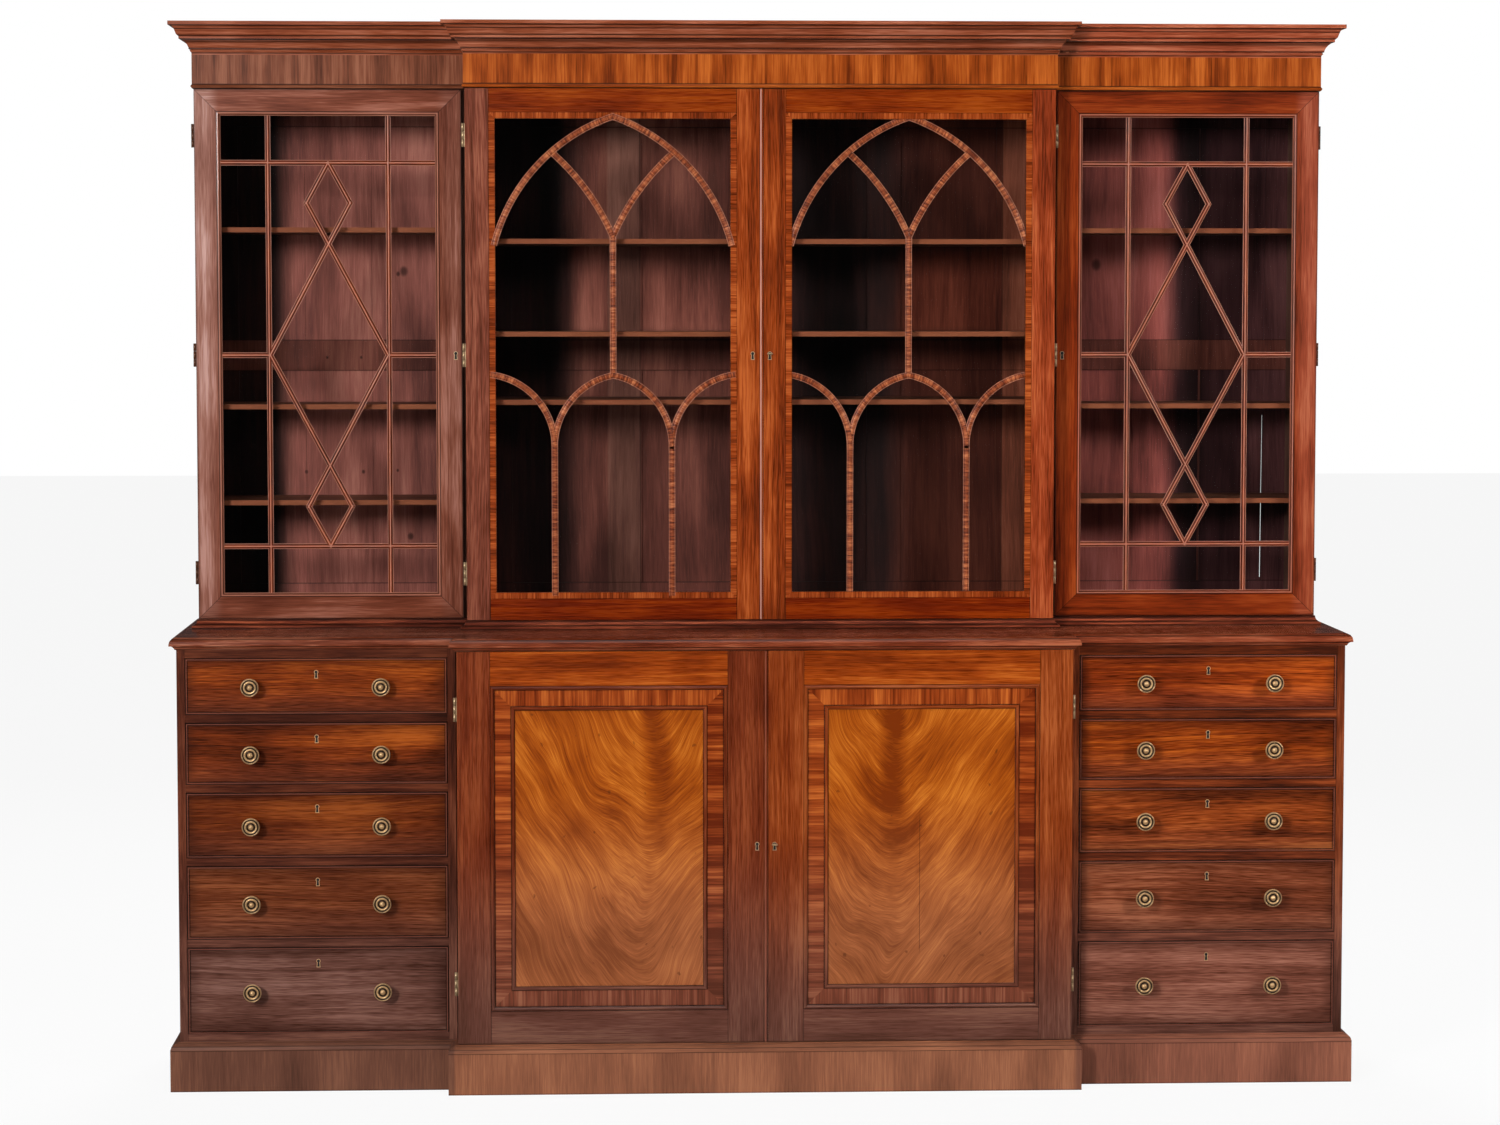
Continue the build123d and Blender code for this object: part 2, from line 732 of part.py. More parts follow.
def tracery(half, height, width, reach):
    """The intersecting tracery at one width, from the middle of the opening's top edge.

    It is trimmed to the opening, grown on all sides by reach.
    """
    shape = Sketch() + upright_strip(0, -branch_spring_drop, -low_arch_drop, width)
    for side in (1, -1):
        low_foot = Vector(side * half / 2, -low_arch_drop - low_arch_rise)
        branch_top = Vector(-side * branch_reach, -arch_crossing_drop(half))
        shape += arc_band(Vector(0, arch_lift), Vector(side * half, -arch_spring_drop),
                          arch_radius, arch_facets, arc_overrun, width)
        shape += arc_band(branch_top, Vector(0, -branch_spring_drop),
                          branch_radius, branch_facets, joint_overrun, width)
        shape += arc_band(Vector(0, -low_arch_drop), low_foot,
                          low_arch_radius, low_arch_facets, joint_overrun, width)
        shape += arc_band(Vector(side * half, -low_arch_drop), low_foot,
                          low_arch_radius, low_arch_facets, edge_overrun, width)
        shape += upright_strip(low_foot.X, low_foot.Y, -height - arc_overrun, width)
    return shape & Pos(0, -height / 2) * Rectangle(2 * (half + reach), height + 2 * reach)


def arch_crossing_drop(half):
    """Drop from the opening's top edge to where a branch meets the big arch."""
    chord = Vector(half, -arch_spring_drop - arch_lift)
    reach = sqrt(arch_radius ** 2 - (chord.length / 2) ** 2)
    centre = Vector(0, arch_lift) + chord / 2 + Vector(chord.Y, -chord.X).normalized() * reach
    return -(centre.Y + sqrt(arch_radius ** 2 - (branch_reach - centre.X) ** 2))


def arch_door(meeting_x):
    """Frame, tracery and panes of the right centre door, whose meeting edge is at meeting_x."""
    front = upper_centre_front_y
    outer_x = upper_centre_half_width - door_edge_gap
    x0 = meeting_bead_width / 2 + arch_meeting_stile_width + arch_crossband_width
    x1 = outer_x - arch_stile_width - arch_crossband_width
    z0 = door_bottom_z + arch_bottom_rail + arch_crossband_width
    z1 = door_top_z - arch_top_rail - arch_crossband_width
    y = (front, front + door_thickness)
    cut = rebate(x0, x1, z0, z1, front)
    frame = [block(meeting_x, x0, *y, door_bottom_z, door_top_z) - cut,
             block(x1, outer_x, *y, door_bottom_z, door_top_z) - cut,
             block(x0, x1, *y, door_bottom_z, z0) - cut,
             block(x0, x1, *y, z1, door_top_z) - cut]
    half, height = (x1 - x0) / 2, z1 - z0
    apex = Vector((x0 + x1) / 2, front, z1)
    face = Plane(origin=apex + Vector(0, glass_depth, 0), x_dir=(1, 0, 0), z_dir=(0, -1, 0))
    bars = extrude(face * tracery(half, height, tracery_width, 0), glass_depth - tracery_depth)
    ribs = extrude(face * tracery(half, height, rib_width, glass_margin), -rib_depth)
    return frame, [bars + ribs], panes_between(glass_sheet(x0, x1, z0, z1, front), ribs)


def meeting_bead(front, z0, z1):
    """The half-round bead that stands on the edge of the left door of a pair."""
    half = meeting_bead_width / 2
    arc = ThreePointArc((-half, 0), (0, -meeting_bead_projection), (half, 0))
    section = polygon(*facets(arc, bead_facets))
    return extrude(Plane(origin=(0, front, z0), x_dir=(1, 0, 0), z_dir=(0, 0, 1)) * section, z1 - z0)


# Cupboard doors

cupboard_bottom_z = case_bottom_z + door_edge_gap
cupboard_top_z = case_top_z - door_edge_gap


def bead_section(width, top, base):
    """A bead from depth base up to depth top, rounded in front."""
    shoulder = (top + base) / 2
    crown = facets(ThreePointArc((0, shoulder), (width / 2, top), (width, shoulder)), bead_facets)
    return polygon((0, base), *crown, (width, base))


def cupboard_door(meeting_x):
    """Stiles, rails and beads, and the panel, of the right cupboard door."""
    front = centre_front_y
    outer_x = centre_half_width - door_edge_gap
    x0 = meeting_bead_width / 2 + cupboard_meeting_stile_width
    x1 = outer_x - cupboard_stile_width
    z0 = cupboard_bottom_z + cupboard_bottom_rail
    z1 = cupboard_top_z - cupboard_top_rail
    depth = (front, front + door_thickness)
    panel = block(x0 - panel_tongue, x1 + panel_tongue, front + panel_sink, front + panel_sink + panel_thickness,
                  z0 - panel_tongue, z1 + panel_tongue)
    frame = [block(meeting_x, x0, *depth, cupboard_bottom_z, cupboard_top_z) - panel,
             block(x1, outer_x, *depth, cupboard_bottom_z, cupboard_top_z) - panel,
             block(x0, x1, *depth, cupboard_bottom_z, z0) - panel,
             block(x0, x1, *depth, z1, cupboard_top_z) - panel]
    beads = frame_lengths(bead_section(cupboard_bead_width, -cupboard_bead_projection, panel_sink),
                          x0, x1, z0, z1, front)
    inset = cupboard_bead_width + cupboard_crossband_width
    beads += frame_lengths(bead_section(cupboard_bead_width, panel_sink - inner_bead_projection, panel_sink),
                           x0 + inset, x1 - inset, z0 + inset, z1 - inset, front)
    return frame + beads, [panel]


# Hinges, locks and knobs

def hinge_places(z0, z1, inset, count):
    """Middles of the hinges of a door, evenly spaced between the outer two."""
    first, last = z0 + inset, z1 - inset
    return [first + (last - first) * index / (count - 1) for index in range(count)]


def hinge(case_x, front, middle_z):
    """A butt hinge for a door hung on the right: the leaf on the case and the leaf on the door."""
    axis_x, axis_y = case_x + hinge_axis_out, front + door_thickness + hinge_gap / 2
    low, high = middle_z - hinge_length / 2, middle_z + hinge_length / 2
    third = hinge_length / 3
    leaf_x = case_x - door_edge_gap - hinge_leaf_width
    case_y = front + door_case_step
    door_y = front + door_thickness

    def barrel(radius, z0, z1):
        return prism(Plane(origin=(axis_x, axis_y, 0), z_dir=(0, 0, 1)), radius, barrel_sides, z0, z1)

    case_leaf = block(leaf_x, axis_x, case_y - hinge_leaf_thickness, case_y, low, high)
    case_leaf -= block(case_x, axis_x + knuckle_radius, case_y - knuckle_radius, case_y,
                       low + third - knuckle_gap, high - third + knuckle_gap)
    case_leaf += barrel(knuckle_radius, low, low + third - knuckle_gap)
    case_leaf += barrel(knuckle_radius, high - third + knuckle_gap, high)
    case_leaf += barrel(pin_radius, low, high)
    door_leaf = block(leaf_x, case_x, door_y, door_y + hinge_leaf_thickness, low, high)
    door_leaf += block(case_x, axis_x, door_y, door_y + hinge_leaf_thickness, low + third, high - third)
    door_leaf += barrel(knuckle_radius, low + third, high - third)
    door_leaf -= barrel(pin_bore_radius, low, high)
    return case_leaf, door_leaf


def hinges(case_x, front, places):
    pairs = [hinge(case_x, front, place) for place in places]
    return [pair[0] for pair in pairs], [pair[1] for pair in pairs]


def escutcheon(x, front, z):
    """A thin plate with clipped corners and a keyhole, on the face at front."""
    clip_share = 0.3
    half, tall = escutcheon_width / 2, escutcheon_height / 2
    clip = escutcheon_width * clip_share
    right = [(half, clip - tall), (half, tall - clip), (half - clip, tall)]
    left = [(-half, tall - clip), (-half, clip - tall), (clip - half, -tall)]
    plate = polygon((half - clip, -tall), *right, (clip - half, tall), *left)
    plate -= Rectangle(keyhole_width, keyhole_height)
    return extrude(Plane(origin=(x, front, z), x_dir=(1, 0, 0), z_dir=(0, -1, 0)) * plate, escutcheon_thickness)


def lock_case(x, back, z_top, height):
    """The box of a lock on the face at back."""
    return block(x - lock_width / 2, x + lock_width / 2, back, back + lock_thickness, z_top - height, z_top)


def knob(x, front, z):
    """A knob: a foot that narrows to a neck, a flared head and its rim."""
    place = Plane(origin=(x, front, z), x_dir=(1, 0, 0), z_dir=(0, -1, 0))
    rim = knob_projection - rim_thickness
    sizes = ((rose_radius, 0), (neck_radius, neck_length), (knob_radius, rim))
    rings = [place.offset(out) * RegularPolygon(radius, knob_sides) for radius, out in sizes]
    body = loft(rings[:2], ruled=True) + loft(rings[1:], ruled=True)
    return body + prism(place, knob_radius, knob_sides, rim, knob_projection)


upper_hinge_places = hinge_places(door_bottom_z, door_top_z, upper_hinge_inset, 3)
cupboard_hinge_places = hinge_places(cupboard_bottom_z, cupboard_top_z, cupboard_hinge_inset, 2)
wing_hinges = hinges(upper_wing_half_width, upper_wing_front_y, upper_hinge_places)
arch_hinges = hinges(upper_centre_half_width, upper_centre_front_y, upper_hinge_places)
cupboard_hinges = hinges(centre_half_width, centre_front_y, cupboard_hinge_places)


def door_brass(hinge_leaves, key_x, lock_x, front, middle_z):
    """Hinge leaves, escutcheon and lock of one door."""
    lock = lock_case(lock_x, front + door_thickness, middle_z + lock_height / 2, lock_height)
    return hinge_leaves + [escutcheon(key_x, front, middle_z), lock]


# Drawers

def drawer(index):
    """The cockbeaded front, sides, back and bottom of a right-hand drawer."""
    floor = drawer_floor(index)
    x0, x1 = drawer_bay[0] + drawer_side_gap, drawer_bay[1] - drawer_side_gap
    low = floor + drawer_edge_gap
    high = low + drawer_heights[index]
    box_front = wing_front_y + drawer_front_thickness
    box_rear = box_front + drawer_box_length
    front = block(x0, x1, wing_front_y, box_front, low, high)
    front += block(x0, x1, wing_front_y - cockbead_projection, wing_front_y, low, high)
    front -= block(x0 + cockbead_width, x1 - cockbead_width, wing_front_y - cockbead_projection, wing_front_y,
                   low + cockbead_width, high - cockbead_width)
    foot = floor + running_gap
    rim = high - drawer_side_drop
    left_side = block(x0, x0 + drawer_side_thickness, box_front, box_rear, foot, rim)
    right_side = block(x1 - drawer_side_thickness, x1, box_front, box_rear, foot, rim)
    inner = (x0 + drawer_side_thickness, x1 - drawer_side_thickness)
    bottom_z = foot + drawer_bottom_lift
    bottom = block(*inner, box_front, box_rear, bottom_z, bottom_z + drawer_bottom_thickness)
    rear = block(*inner, box_rear - drawer_back_thickness, box_rear, bottom_z + drawer_bottom_thickness, rim)
    return [front, left_side, right_side, bottom, rear]


def drawer_brass(index):
    """Two knobs, an escutcheon and the lock of a right-hand drawer."""
    low = drawer_floor(index) + drawer_edge_gap
    high = low + drawer_heights[index]
    middle_x = (drawer_bay[0] + drawer_bay[1]) / 2
    middle_z = (low + high) / 2
    knobs = [knob(middle_x + side * knob_spread, wing_front_y, middle_z) for side in (-1, 1)]
    plate = escutcheon(middle_x, wing_front_y, high - drawer_escutcheon_drop)
    lock = lock_case(middle_x, wing_front_y + drawer_front_thickness, high - drawer_side_drop - drawer_lock_drop,
                     drawer_lock_height)
    return knobs + [plate, lock]


# Writing the parts

def save(name, solids):
    export_step(Compound(children=[solid for shape in solids for solid in shape.solids()]),
                "parts/" + name + ".step")


def save_pair(name, right, left):
    """Save the right-hand piece and the left-hand one, which is given as drawn on the right."""
    save(name.format("right"), right)
    save(name.format("left"), [mirror(solid, about=Plane.YZ) for solid in left])


os.makedirs("parts", exist_ok=True)
save("plinth", plinth())
save("lower_case_sides", lower_sides())
save("lower_case_boards", lower_boards())
save("lower_backs", lower_backs())
save("drawer_rails", drawer_rails())
save("drawer_runners", drawer_runners())
save("cupboard_shelf", cupboard_shelf())
save("counter_top", counter_top())
save("waist_moulding", waist_moulding())
save("upper_case_sides", upper_sides())
save("upper_case_boards", upper_boards())
save("wing_shelves", wing_shelves())
save("centre_shelves", centre_shelves())
save("wing_backs", wing_backs())
save("centre_back", centre_back())
save("frieze", frieze())
save("cornice", cornice())
save("hinge_leaves", both_sides(wing_hinges[0] + arch_hinges[0] + cupboard_hinges[0]))

wing_frame, wing_bars, wing_panes = wing_door()
save_pair("wing_door_{}_frame", wing_frame, wing_frame)
save_pair("wing_door_{}_bars", wing_bars, wing_bars)
save_pair("wing_door_{}_glass", wing_panes, wing_panes)
wing_key_x = upper_centre_half_width + wing_door_gap + lock_edge_margin
wing_lock_x = upper_bay[0] + lock_width / 2 + running_gap
upper_lock_z = upper_bottom_z + door_lock_height
wing_brass = door_brass(wing_hinges[1], wing_key_x, wing_lock_x, upper_wing_front_y, upper_lock_z)
save_pair("wing_door_{}_brass", wing_brass, wing_brass)

left_meeting_x = -meeting_bead_width / 2
right_meeting_x = meeting_bead_width / 2 + meeting_gap
key_x = right_meeting_x + lock_edge_margin
lock_x = right_meeting_x + lock_width / 2 + running_gap
right_frame, right_tracery, right_panes = arch_door(right_meeting_x)
left_frame, left_tracery, left_panes = arch_door(left_meeting_x)
left_frame.append(meeting_bead(upper_centre_front_y, door_bottom_z, door_top_z))
save_pair("arch_door_{}_frame", right_frame, left_frame)
save_pair("arch_door_{}_tracery", right_tracery, left_tracery)
save_pair("arch_door_{}_glass", right_panes, left_panes)
arch_brass = door_brass(arch_hinges[1], key_x, lock_x, upper_centre_front_y, upper_lock_z)
save_pair("arch_door_{}_brass", arch_brass, arch_brass)

cupboard_lock_z = case_bottom_z + cupboard_lock_height
right_cupboard_frame, right_panel = cupboard_door(right_meeting_x)
left_cupboard_frame, left_panel = cupboard_door(left_meeting_x)
left_cupboard_frame.append(meeting_bead(centre_front_y, cupboard_bottom_z, cupboard_top_z))
save_pair("cupboard_door_{}_frame", right_cupboard_frame, left_cupboard_frame)
save_pair("cupboard_door_{}_panel", right_panel, left_panel)
cupboard_brass = door_brass(cupboard_hinges[1], key_x, lock_x, centre_front_y, cupboard_lock_z)
save_pair("cupboard_door_{}_brass", cupboard_brass, cupboard_brass)

for number in range(1, len(drawer_heights) + 1):
    box, brass = drawer(number - 1), drawer_brass(number - 1)
    save_pair("drawer_{}_" + str(number), box, box)
    save_pair("drawer_{}_" + str(number) + "_brass", brass, brass)
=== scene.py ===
import math

import bmesh
import bpy
from bpy.props import FloatProperty, FloatVectorProperty, IntProperty, PointerProperty
from mathutils import Matrix, Vector


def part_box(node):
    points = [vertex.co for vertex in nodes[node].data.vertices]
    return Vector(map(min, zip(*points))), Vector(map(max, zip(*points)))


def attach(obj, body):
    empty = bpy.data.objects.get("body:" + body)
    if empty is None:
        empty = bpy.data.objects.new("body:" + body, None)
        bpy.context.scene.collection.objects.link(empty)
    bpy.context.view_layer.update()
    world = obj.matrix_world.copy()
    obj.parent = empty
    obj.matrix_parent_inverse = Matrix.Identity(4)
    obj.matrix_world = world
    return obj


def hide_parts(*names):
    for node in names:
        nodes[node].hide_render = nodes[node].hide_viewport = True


bl_info = {
    "name": "Breakfront Bookcase",
    "version": (1, 0, 0),
    "blender": (4, 5, 0),
    "location": "3D View > Sidebar > Bookcase",
    "description": "Finishes and fittings for a glazed mahogany breakfront bookcase",
    "category": "Object",
}

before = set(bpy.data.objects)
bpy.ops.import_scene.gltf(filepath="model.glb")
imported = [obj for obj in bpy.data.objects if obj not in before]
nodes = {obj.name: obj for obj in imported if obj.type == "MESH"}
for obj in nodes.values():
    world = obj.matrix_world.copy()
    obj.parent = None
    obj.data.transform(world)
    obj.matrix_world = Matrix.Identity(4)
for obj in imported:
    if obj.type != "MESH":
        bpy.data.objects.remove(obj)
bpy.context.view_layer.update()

HANDS = (("left", -1), ("right", 1))
DRAWERS = [f"drawer_{hand}_{row}" for hand, side in HANDS for row in range(1, 6)]


# Sizes read from the frame

def spans(name):
    """Lowest and highest x, y and z of a CAD node, each as a pair."""
    low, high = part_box(name)
    return [(low[axis], high[axis]) for axis in range(3)]


def middle(pair):
    """Half way between two places."""
    return (pair[0] + pair[1]) / 2


def handed(side, places):
    """A pair of places measured on the right half, for either half, in rising order."""
    return sorted(side * place for place in places)


class Face:
    """An upright rectangle, a drawer's front or a door's opening, by its middle and half sizes."""

    def __init__(self, across, up):
        self.x, self.half = middle(across), (across[1] - across[0]) / 2
        self.z, self.tall = middle(up), (up[1] - up[0]) / 2

    def past(self, x, z):
        """How far a point lies past the sides, and how far past the top or the foot."""
        return abs(x - self.x) - self.half, abs(z - self.z) - self.tall


# Node trees

class Reading:
    """A number that varies over a surface or a form. Sums written with it add their nodes."""

    def __init__(self, bench, socket):
        self.bench = bench
        self.socket = socket

    def work(self, operation, *others, clamp=False):
        node = self.bench.node("ShaderNodeMath", {"operation": operation, "use_clamp": clamp},
                               dict(enumerate((self,) + others)))
        return Reading(self.bench, node.outputs[0])

    def swapped(self, operation, other):
        node = self.bench.node("ShaderNodeMath", {"operation": operation}, {0: other, 1: self})
        return Reading(self.bench, node.outputs[0])

    def __add__(self, other):
        return self.work("ADD", other)

    def __sub__(self, other):
        return self.work("SUBTRACT", other)

    def __mul__(self, other):
        return self.work("MULTIPLY", other)

    def __truediv__(self, other):
        return self.work("DIVIDE", other)

    def __pow__(self, other):
        return self.work("POWER", other)

    def __gt__(self, other):
        return self.work("GREATER_THAN", other)

    def __lt__(self, other):
        return self.work("LESS_THAN", other)

    def __neg__(self):
        return self.work("MULTIPLY", -1.0)

    def __abs__(self):
        return self.work("ABSOLUTE")

    def __rsub__(self, other):
        return self.swapped("SUBTRACT", other)

    def __rtruediv__(self, other):
        return self.swapped("DIVIDE", other)

    __radd__ = __add__
    __rmul__ = __mul__

    def most(self, other):
        return self.work("MAXIMUM", other)

    def least(self, other):
        return self.work("MINIMUM", other)

    def held(self):
        """Kept between nought and one."""
        return self.work("ADD", 0.0, clamp=True)

    def ease(self, low, high):
        """Rises smoothly from nought at low to one at high."""
        node = self.bench.node("ShaderNodeMapRange", {"interpolation_type": "SMOOTHSTEP"},
                               {"Value": self, "From Min": low, "From Max": high})
        return Reading(self.bench, node.outputs[0])

    def near(self, place, reach):
        """One at place, falling to nought at reach from it."""
        return 1 - abs(self - place).ease(0.0, reach)

    def blend(self, off, on):
        """off where this is nought, on where it is one."""
        return off + (on - off) * self


class Bench:
    """A node tree that is being laid out."""

    def __init__(self, tree):
        self.tree = tree

    def node(self, kind, settings=None, sockets=None):
        made = self.tree.nodes.new(kind)
        for key, value in (settings or {}).items():
            if key == "stops":
                ramp = made.color_ramp
                while len(ramp.elements) < len(value):
                    ramp.elements.new(1.0)
                for element, (place, colour) in zip(ramp.elements, value):
                    element.position = place
                    element.color = (*colour, 1.0)
            elif key == "items":
                while len(made.index_switch_items) < value:
                    made.index_switch_items.new()
            else:
                setattr(made, key, value)
        for key, value in (sockets or {}).items():
            value = value.socket if isinstance(value, Reading) else value
            if isinstance(value, bpy.types.NodeSocket):
                self.tree.links.new(value, made.inputs[key])
            else:
                made.inputs[key].default_value = value
        return made

    def vector(self, x=0.0, y=0.0, z=0.0):
        return self.node("ShaderNodeCombineXYZ", {}, {"X": x, "Y": y, "Z": z}).outputs[0]


class Finish(Bench):
    """The material of one kind of surface."""

    def __init__(self, name):
        self.material = bpy.data.materials.new(name)
        self.material.use_nodes = True
        super().__init__(self.material.node_tree)
        self.tree.nodes.clear()

    def place(self):
        """Where a point of the surface is, as x, y and z in metres."""
        texture = self.node("ShaderNodeTexCoord")
        parts = self.node("ShaderNodeSeparateXYZ", {}, {0: texture.outputs["Object"]})
        return [Reading(self, socket) for socket in parts.outputs]

    def facing(self):
        """How far the surface faces along x, y and z."""
        geometry = self.node("ShaderNodeNewGeometry")
        parts = self.node("ShaderNodeSeparateXYZ", {}, {0: geometry.outputs["True Normal"]})
        return [abs(Reading(self, socket)) for socket in parts.outputs]

    def noise(self, vector, detail=2.0, roughness=0.5, distortion=0.0):
        node = self.node("ShaderNodeTexNoise", {"noise_dimensions": "3D"},
                         {"Vector": vector, "Scale": 1.0, "Detail": detail, "Roughness": roughness,
                          "Distortion": distortion})
        return Reading(self, node.outputs[0])

    def ramp(self, reading, *stops):
        return self.node("ShaderNodeValToRGB", {"stops": stops}, {0: reading}).outputs[0]

    def kept(self, name):
        """A number kept on the form under a name."""
        return Reading(self, self.node("ShaderNodeAttribute", {"attribute_name": name}).outputs[2])

    def mix(self, share, off, on):
        """off where the share is nought, on where it is one."""
        return self.node("ShaderNodeMix", {"data_type": "RGBA"}, {0: share, 6: off, 7: on}).outputs[2]

    def mixed(self, share, off, on):
        """Ends the tree in a mix of two shaders."""
        both = self.node("ShaderNodeMixShader", {}, {0: share, 1: off.outputs[0], 2: on.outputs[0]})
        self.node("ShaderNodeOutputMaterial", {}, {0: both.outputs[0]})
        return self.material

    def close(self, colour, **sockets):
        """Ends the tree in one shader with this colour and these other sockets."""
        height = sockets.pop("height", None)
        strength = sockets.pop("strength", 0.2)
        values = {key.replace("_", " ").title().replace("Ior", "IOR"): value
                  for key, value in sockets.items()}
        if height is not None:
            bump = self.node("ShaderNodeBump", {},
                             {"Height": height, "Strength": strength, "Distance": 0.001})
            values["Normal"] = bump.outputs[0]
        shader = self.node("ShaderNodeBsdfPrincipled", {}, {"Base Color": colour, **values})
        self.node("ShaderNodeOutputMaterial", {}, {0: shader.outputs[0]})
        return self.material


class Pattern(Bench):
    """A geometry node tree that makes or repeats a form."""

    def __init__(self, name):
        super().__init__(bpy.data.node_groups.new(name, "GeometryNodeTree"))
        self.tree.interface.new_socket("Geometry", in_out="INPUT", socket_type="NodeSocketGeometry")
        self.tree.interface.new_socket("Geometry", in_out="OUTPUT", socket_type="NodeSocketGeometry")
        self.entry = self.node("NodeGroupInput")

    def size(self, name, kind="NodeSocketFloat"):
        """A named input, as a reading."""
        self.tree.interface.new_socket(name, in_out="INPUT", socket_type=kind)
        return Reading(self, self.entry.outputs[name])

    def picked(self, index, places):
        """The place that has this number in a list."""
        vectors = {number + 1: self.vector(*place) for number, place in enumerate(places)}
        pick = self.node("GeometryNodeIndexSwitch", {"data_type": "VECTOR", "items": len(places)},
                         {0: index, **vectors})
        return pick.outputs[0]

    def stored(self, form, name, value):
        """A form with a number kept on each of its points."""
        node = self.node("GeometryNodeStoreNamedAttribute", {"data_type": "FLOAT", "domain": "POINT"},
                         {"Geometry": form, "Name": name, "Value": value})
        return node.outputs[0]

    def section(self, points):
        """A closed outline with the given points, and with how far across each is."""
        ring = self.node("GeometryNodeCurvePrimitiveCircle", {"mode": "RADIUS"},
                         {"Resolution": len(points), "Radius": 0.01})
        place = self.picked(self.node("GeometryNodeInputIndex").outputs[0], points)
        aside = self.node("ShaderNodeSeparateXYZ", {}, {0: place}).outputs[1]
        moved = self.node("GeometryNodeSetPosition", {},
                          {"Geometry": self.stored(ring.outputs[0], "across", aside), "Position": place})
        return moved.outputs[0]

    def join(self, *parts):
        node = self.node("GeometryNodeJoinGeometry")
        for part in reversed(parts):
            self.tree.links.new(part, node.inputs[0])
        return node.outputs[0]

    def swept(self, curve, section):
        """A section carried along a line, its x towards the front, with the way along it kept."""
        way = self.node("GeometryNodeSplineParameter").outputs["Length"]
        turned = self.node("GeometryNodeSetCurveNormal", {"mode": "FREE"},
                           {"Curve": self.stored(curve, "along", way), "Normal": (0.0, -1.0, 0.0)})
        body = self.node("GeometryNodeCurveToMesh", {},
                         {"Curve": turned.outputs[0], "Profile Curve": section, "Fill Caps": True})
        return body.outputs[0]

    def finish(self, shape):
        """Real geometry in the material given by the last input."""
        self.tree.interface.new_socket("Finish", in_out="INPUT", socket_type="NodeSocketMaterial")
        real = self.node("GeometryNodeRealizeInstances", {}, {0: shape})
        done = self.node("GeometryNodeSetMaterial", {},
                         {"Geometry": real.outputs[0], "Material": self.entry.outputs["Finish"]})
        self.tree.links.new(done.outputs[0], self.node("NodeGroupOutput").inputs[0])
        return self.tree


def tint(red, green, blue):
    """A colour given in the usual 0 to 255 steps, as the shader wants it."""
    def straight(step):
        share = step / 255
        return share / 12.92 if share <= 0.04045 else ((share + 0.055) / 1.055) ** 2.4
    return tuple(straight(step) for step in (red, green, blue))


def paint(colour):
    """A colour with nothing seen through it."""
    return (*colour, 1.0)


# Finishes

def grain(finish, along, across, through, sway=0.02, band=30.0, streak=150.0, patch=5.0,
          weights=(0.4, 0.7, 0.45, 0.35), shift=0.0, run=4.0):
    """Streaks of wood that run along one way, as a reading about one half, and its fibres."""
    wander = finish.noise(finish.vector(along * 1.3 + shift, across * 4.0, through * 4.0), 1.0)
    side = across + (wander - 0.5) * sway
    patches = finish.noise(finish.vector(along * patch + shift, side * (patch * 2.4), through * 4.0), 2.0)
    bands = finish.noise(finish.vector(along * 1.6 + shift, side * band, through * band), 2.0)
    streaks = finish.noise(finish.vector(along * run + shift, side * streak, through * streak), 4.0, 0.7)
    fibres = finish.noise(finish.vector(along * 24.0, side * 650.0, through * 650.0), 1.0)
    tone = ((bands - 0.5) * weights[0] + (streaks - 0.5) * weights[1] * (patches * 1.4 + 0.3)
            + (patches - 0.5) * weights[2] + (fibres - 0.5) * weights[3])
    return tone * 2.4 + 0.5, fibres


def tones(finish, tone, palette):
    """The dark, middle and light colours of a wood, by a reading."""
    dark, mid, light = [tint(*colour) for colour in palette]
    return finish.ramp(tone, (0.08, dark), (0.5, mid), (0.92, light))


def around(red, green, blue, rich=1.0):
    """A dark, a middle and a light colour about one colour, further apart in rich wood."""
    low = [0.66 - 0.2 * rich, 0.56 - 0.18 * rich, 0.5 - 0.2 * rich]
    high = [1.3 + 0.18 * rich, 1.42 + 0.45 * rich, 1.43 + 0.9 * rich]
    middle_colour = (red, green, blue)
    return (tuple(step * share for step, share in zip(middle_colour, low)), middle_colour,
            tuple(min(250.0, step * share) for step, share in zip(middle_colour, high)))


def wood(name, palette, ways, shade=None, roughness=0.3, coat=0.15, others=(), open_joint=None,
         **settings):
    """Polished wood. ways gives the readings along, across and through the grain.

    others are more palettes, each with the share that it has at each place.
    open_joint gives the share of a narrow gap that one sees through.
    """
    finish = Finish(name)
    x, y, z = finish.place()
    tone, fibres = grain(finish, *ways(finish, x, y, z), **settings)
    colour = tones(finish, tone, palette)
    for other, share in others:
        colour = finish.mix(share(finish, x, y, z).held(), colour, tones(finish, tone, other))
    if shade is not None:
        colour = shade(finish, colour, x, y, z)
    gap = {} if open_joint is None else {"alpha": 1 - open_joint(finish, x, y, z)}
    return finish.close(colour, roughness=fibres * 0.12 + (roughness - 0.06), coat_weight=coat,
                        coat_roughness=0.1, specular_ior_level=0.1, height=fibres, strength=0.04, **gap)


# Grain and the places where tones change

def level(finish, x, y, z):
    """Grain along the width."""
    return x, z, y


def upright(finish, x, y, z):
    """Grain along the height."""
    return z, x, y


def side_ways(finish, x, y, z):
    """Upright grain on boards seen from the end."""
    return z, y, x


def mitred(opening):
    """Grain of a mitred frame round an opening: upright at the sides and level above and below."""
    def ways(finish, x, y, z):
        out, up = opening.past(x, z)
        stands = out > up
        across = stands.blend(z, x) + stands * (x > opening.x) * 0.31 + stands * 1.7
        return stands.blend(x, z), across, y
    return ways


def lower(high, low):
    """Share that grows from nought at one height to one at a lower height."""
    return lambda finish, x, y, z: 1 - z.ease(low, high)


def right_of(place, soft=0.02):
    """One to the right of a place, with a soft edge."""
    return lambda finish, x, y, z: x.ease(place - soft, place + soft)


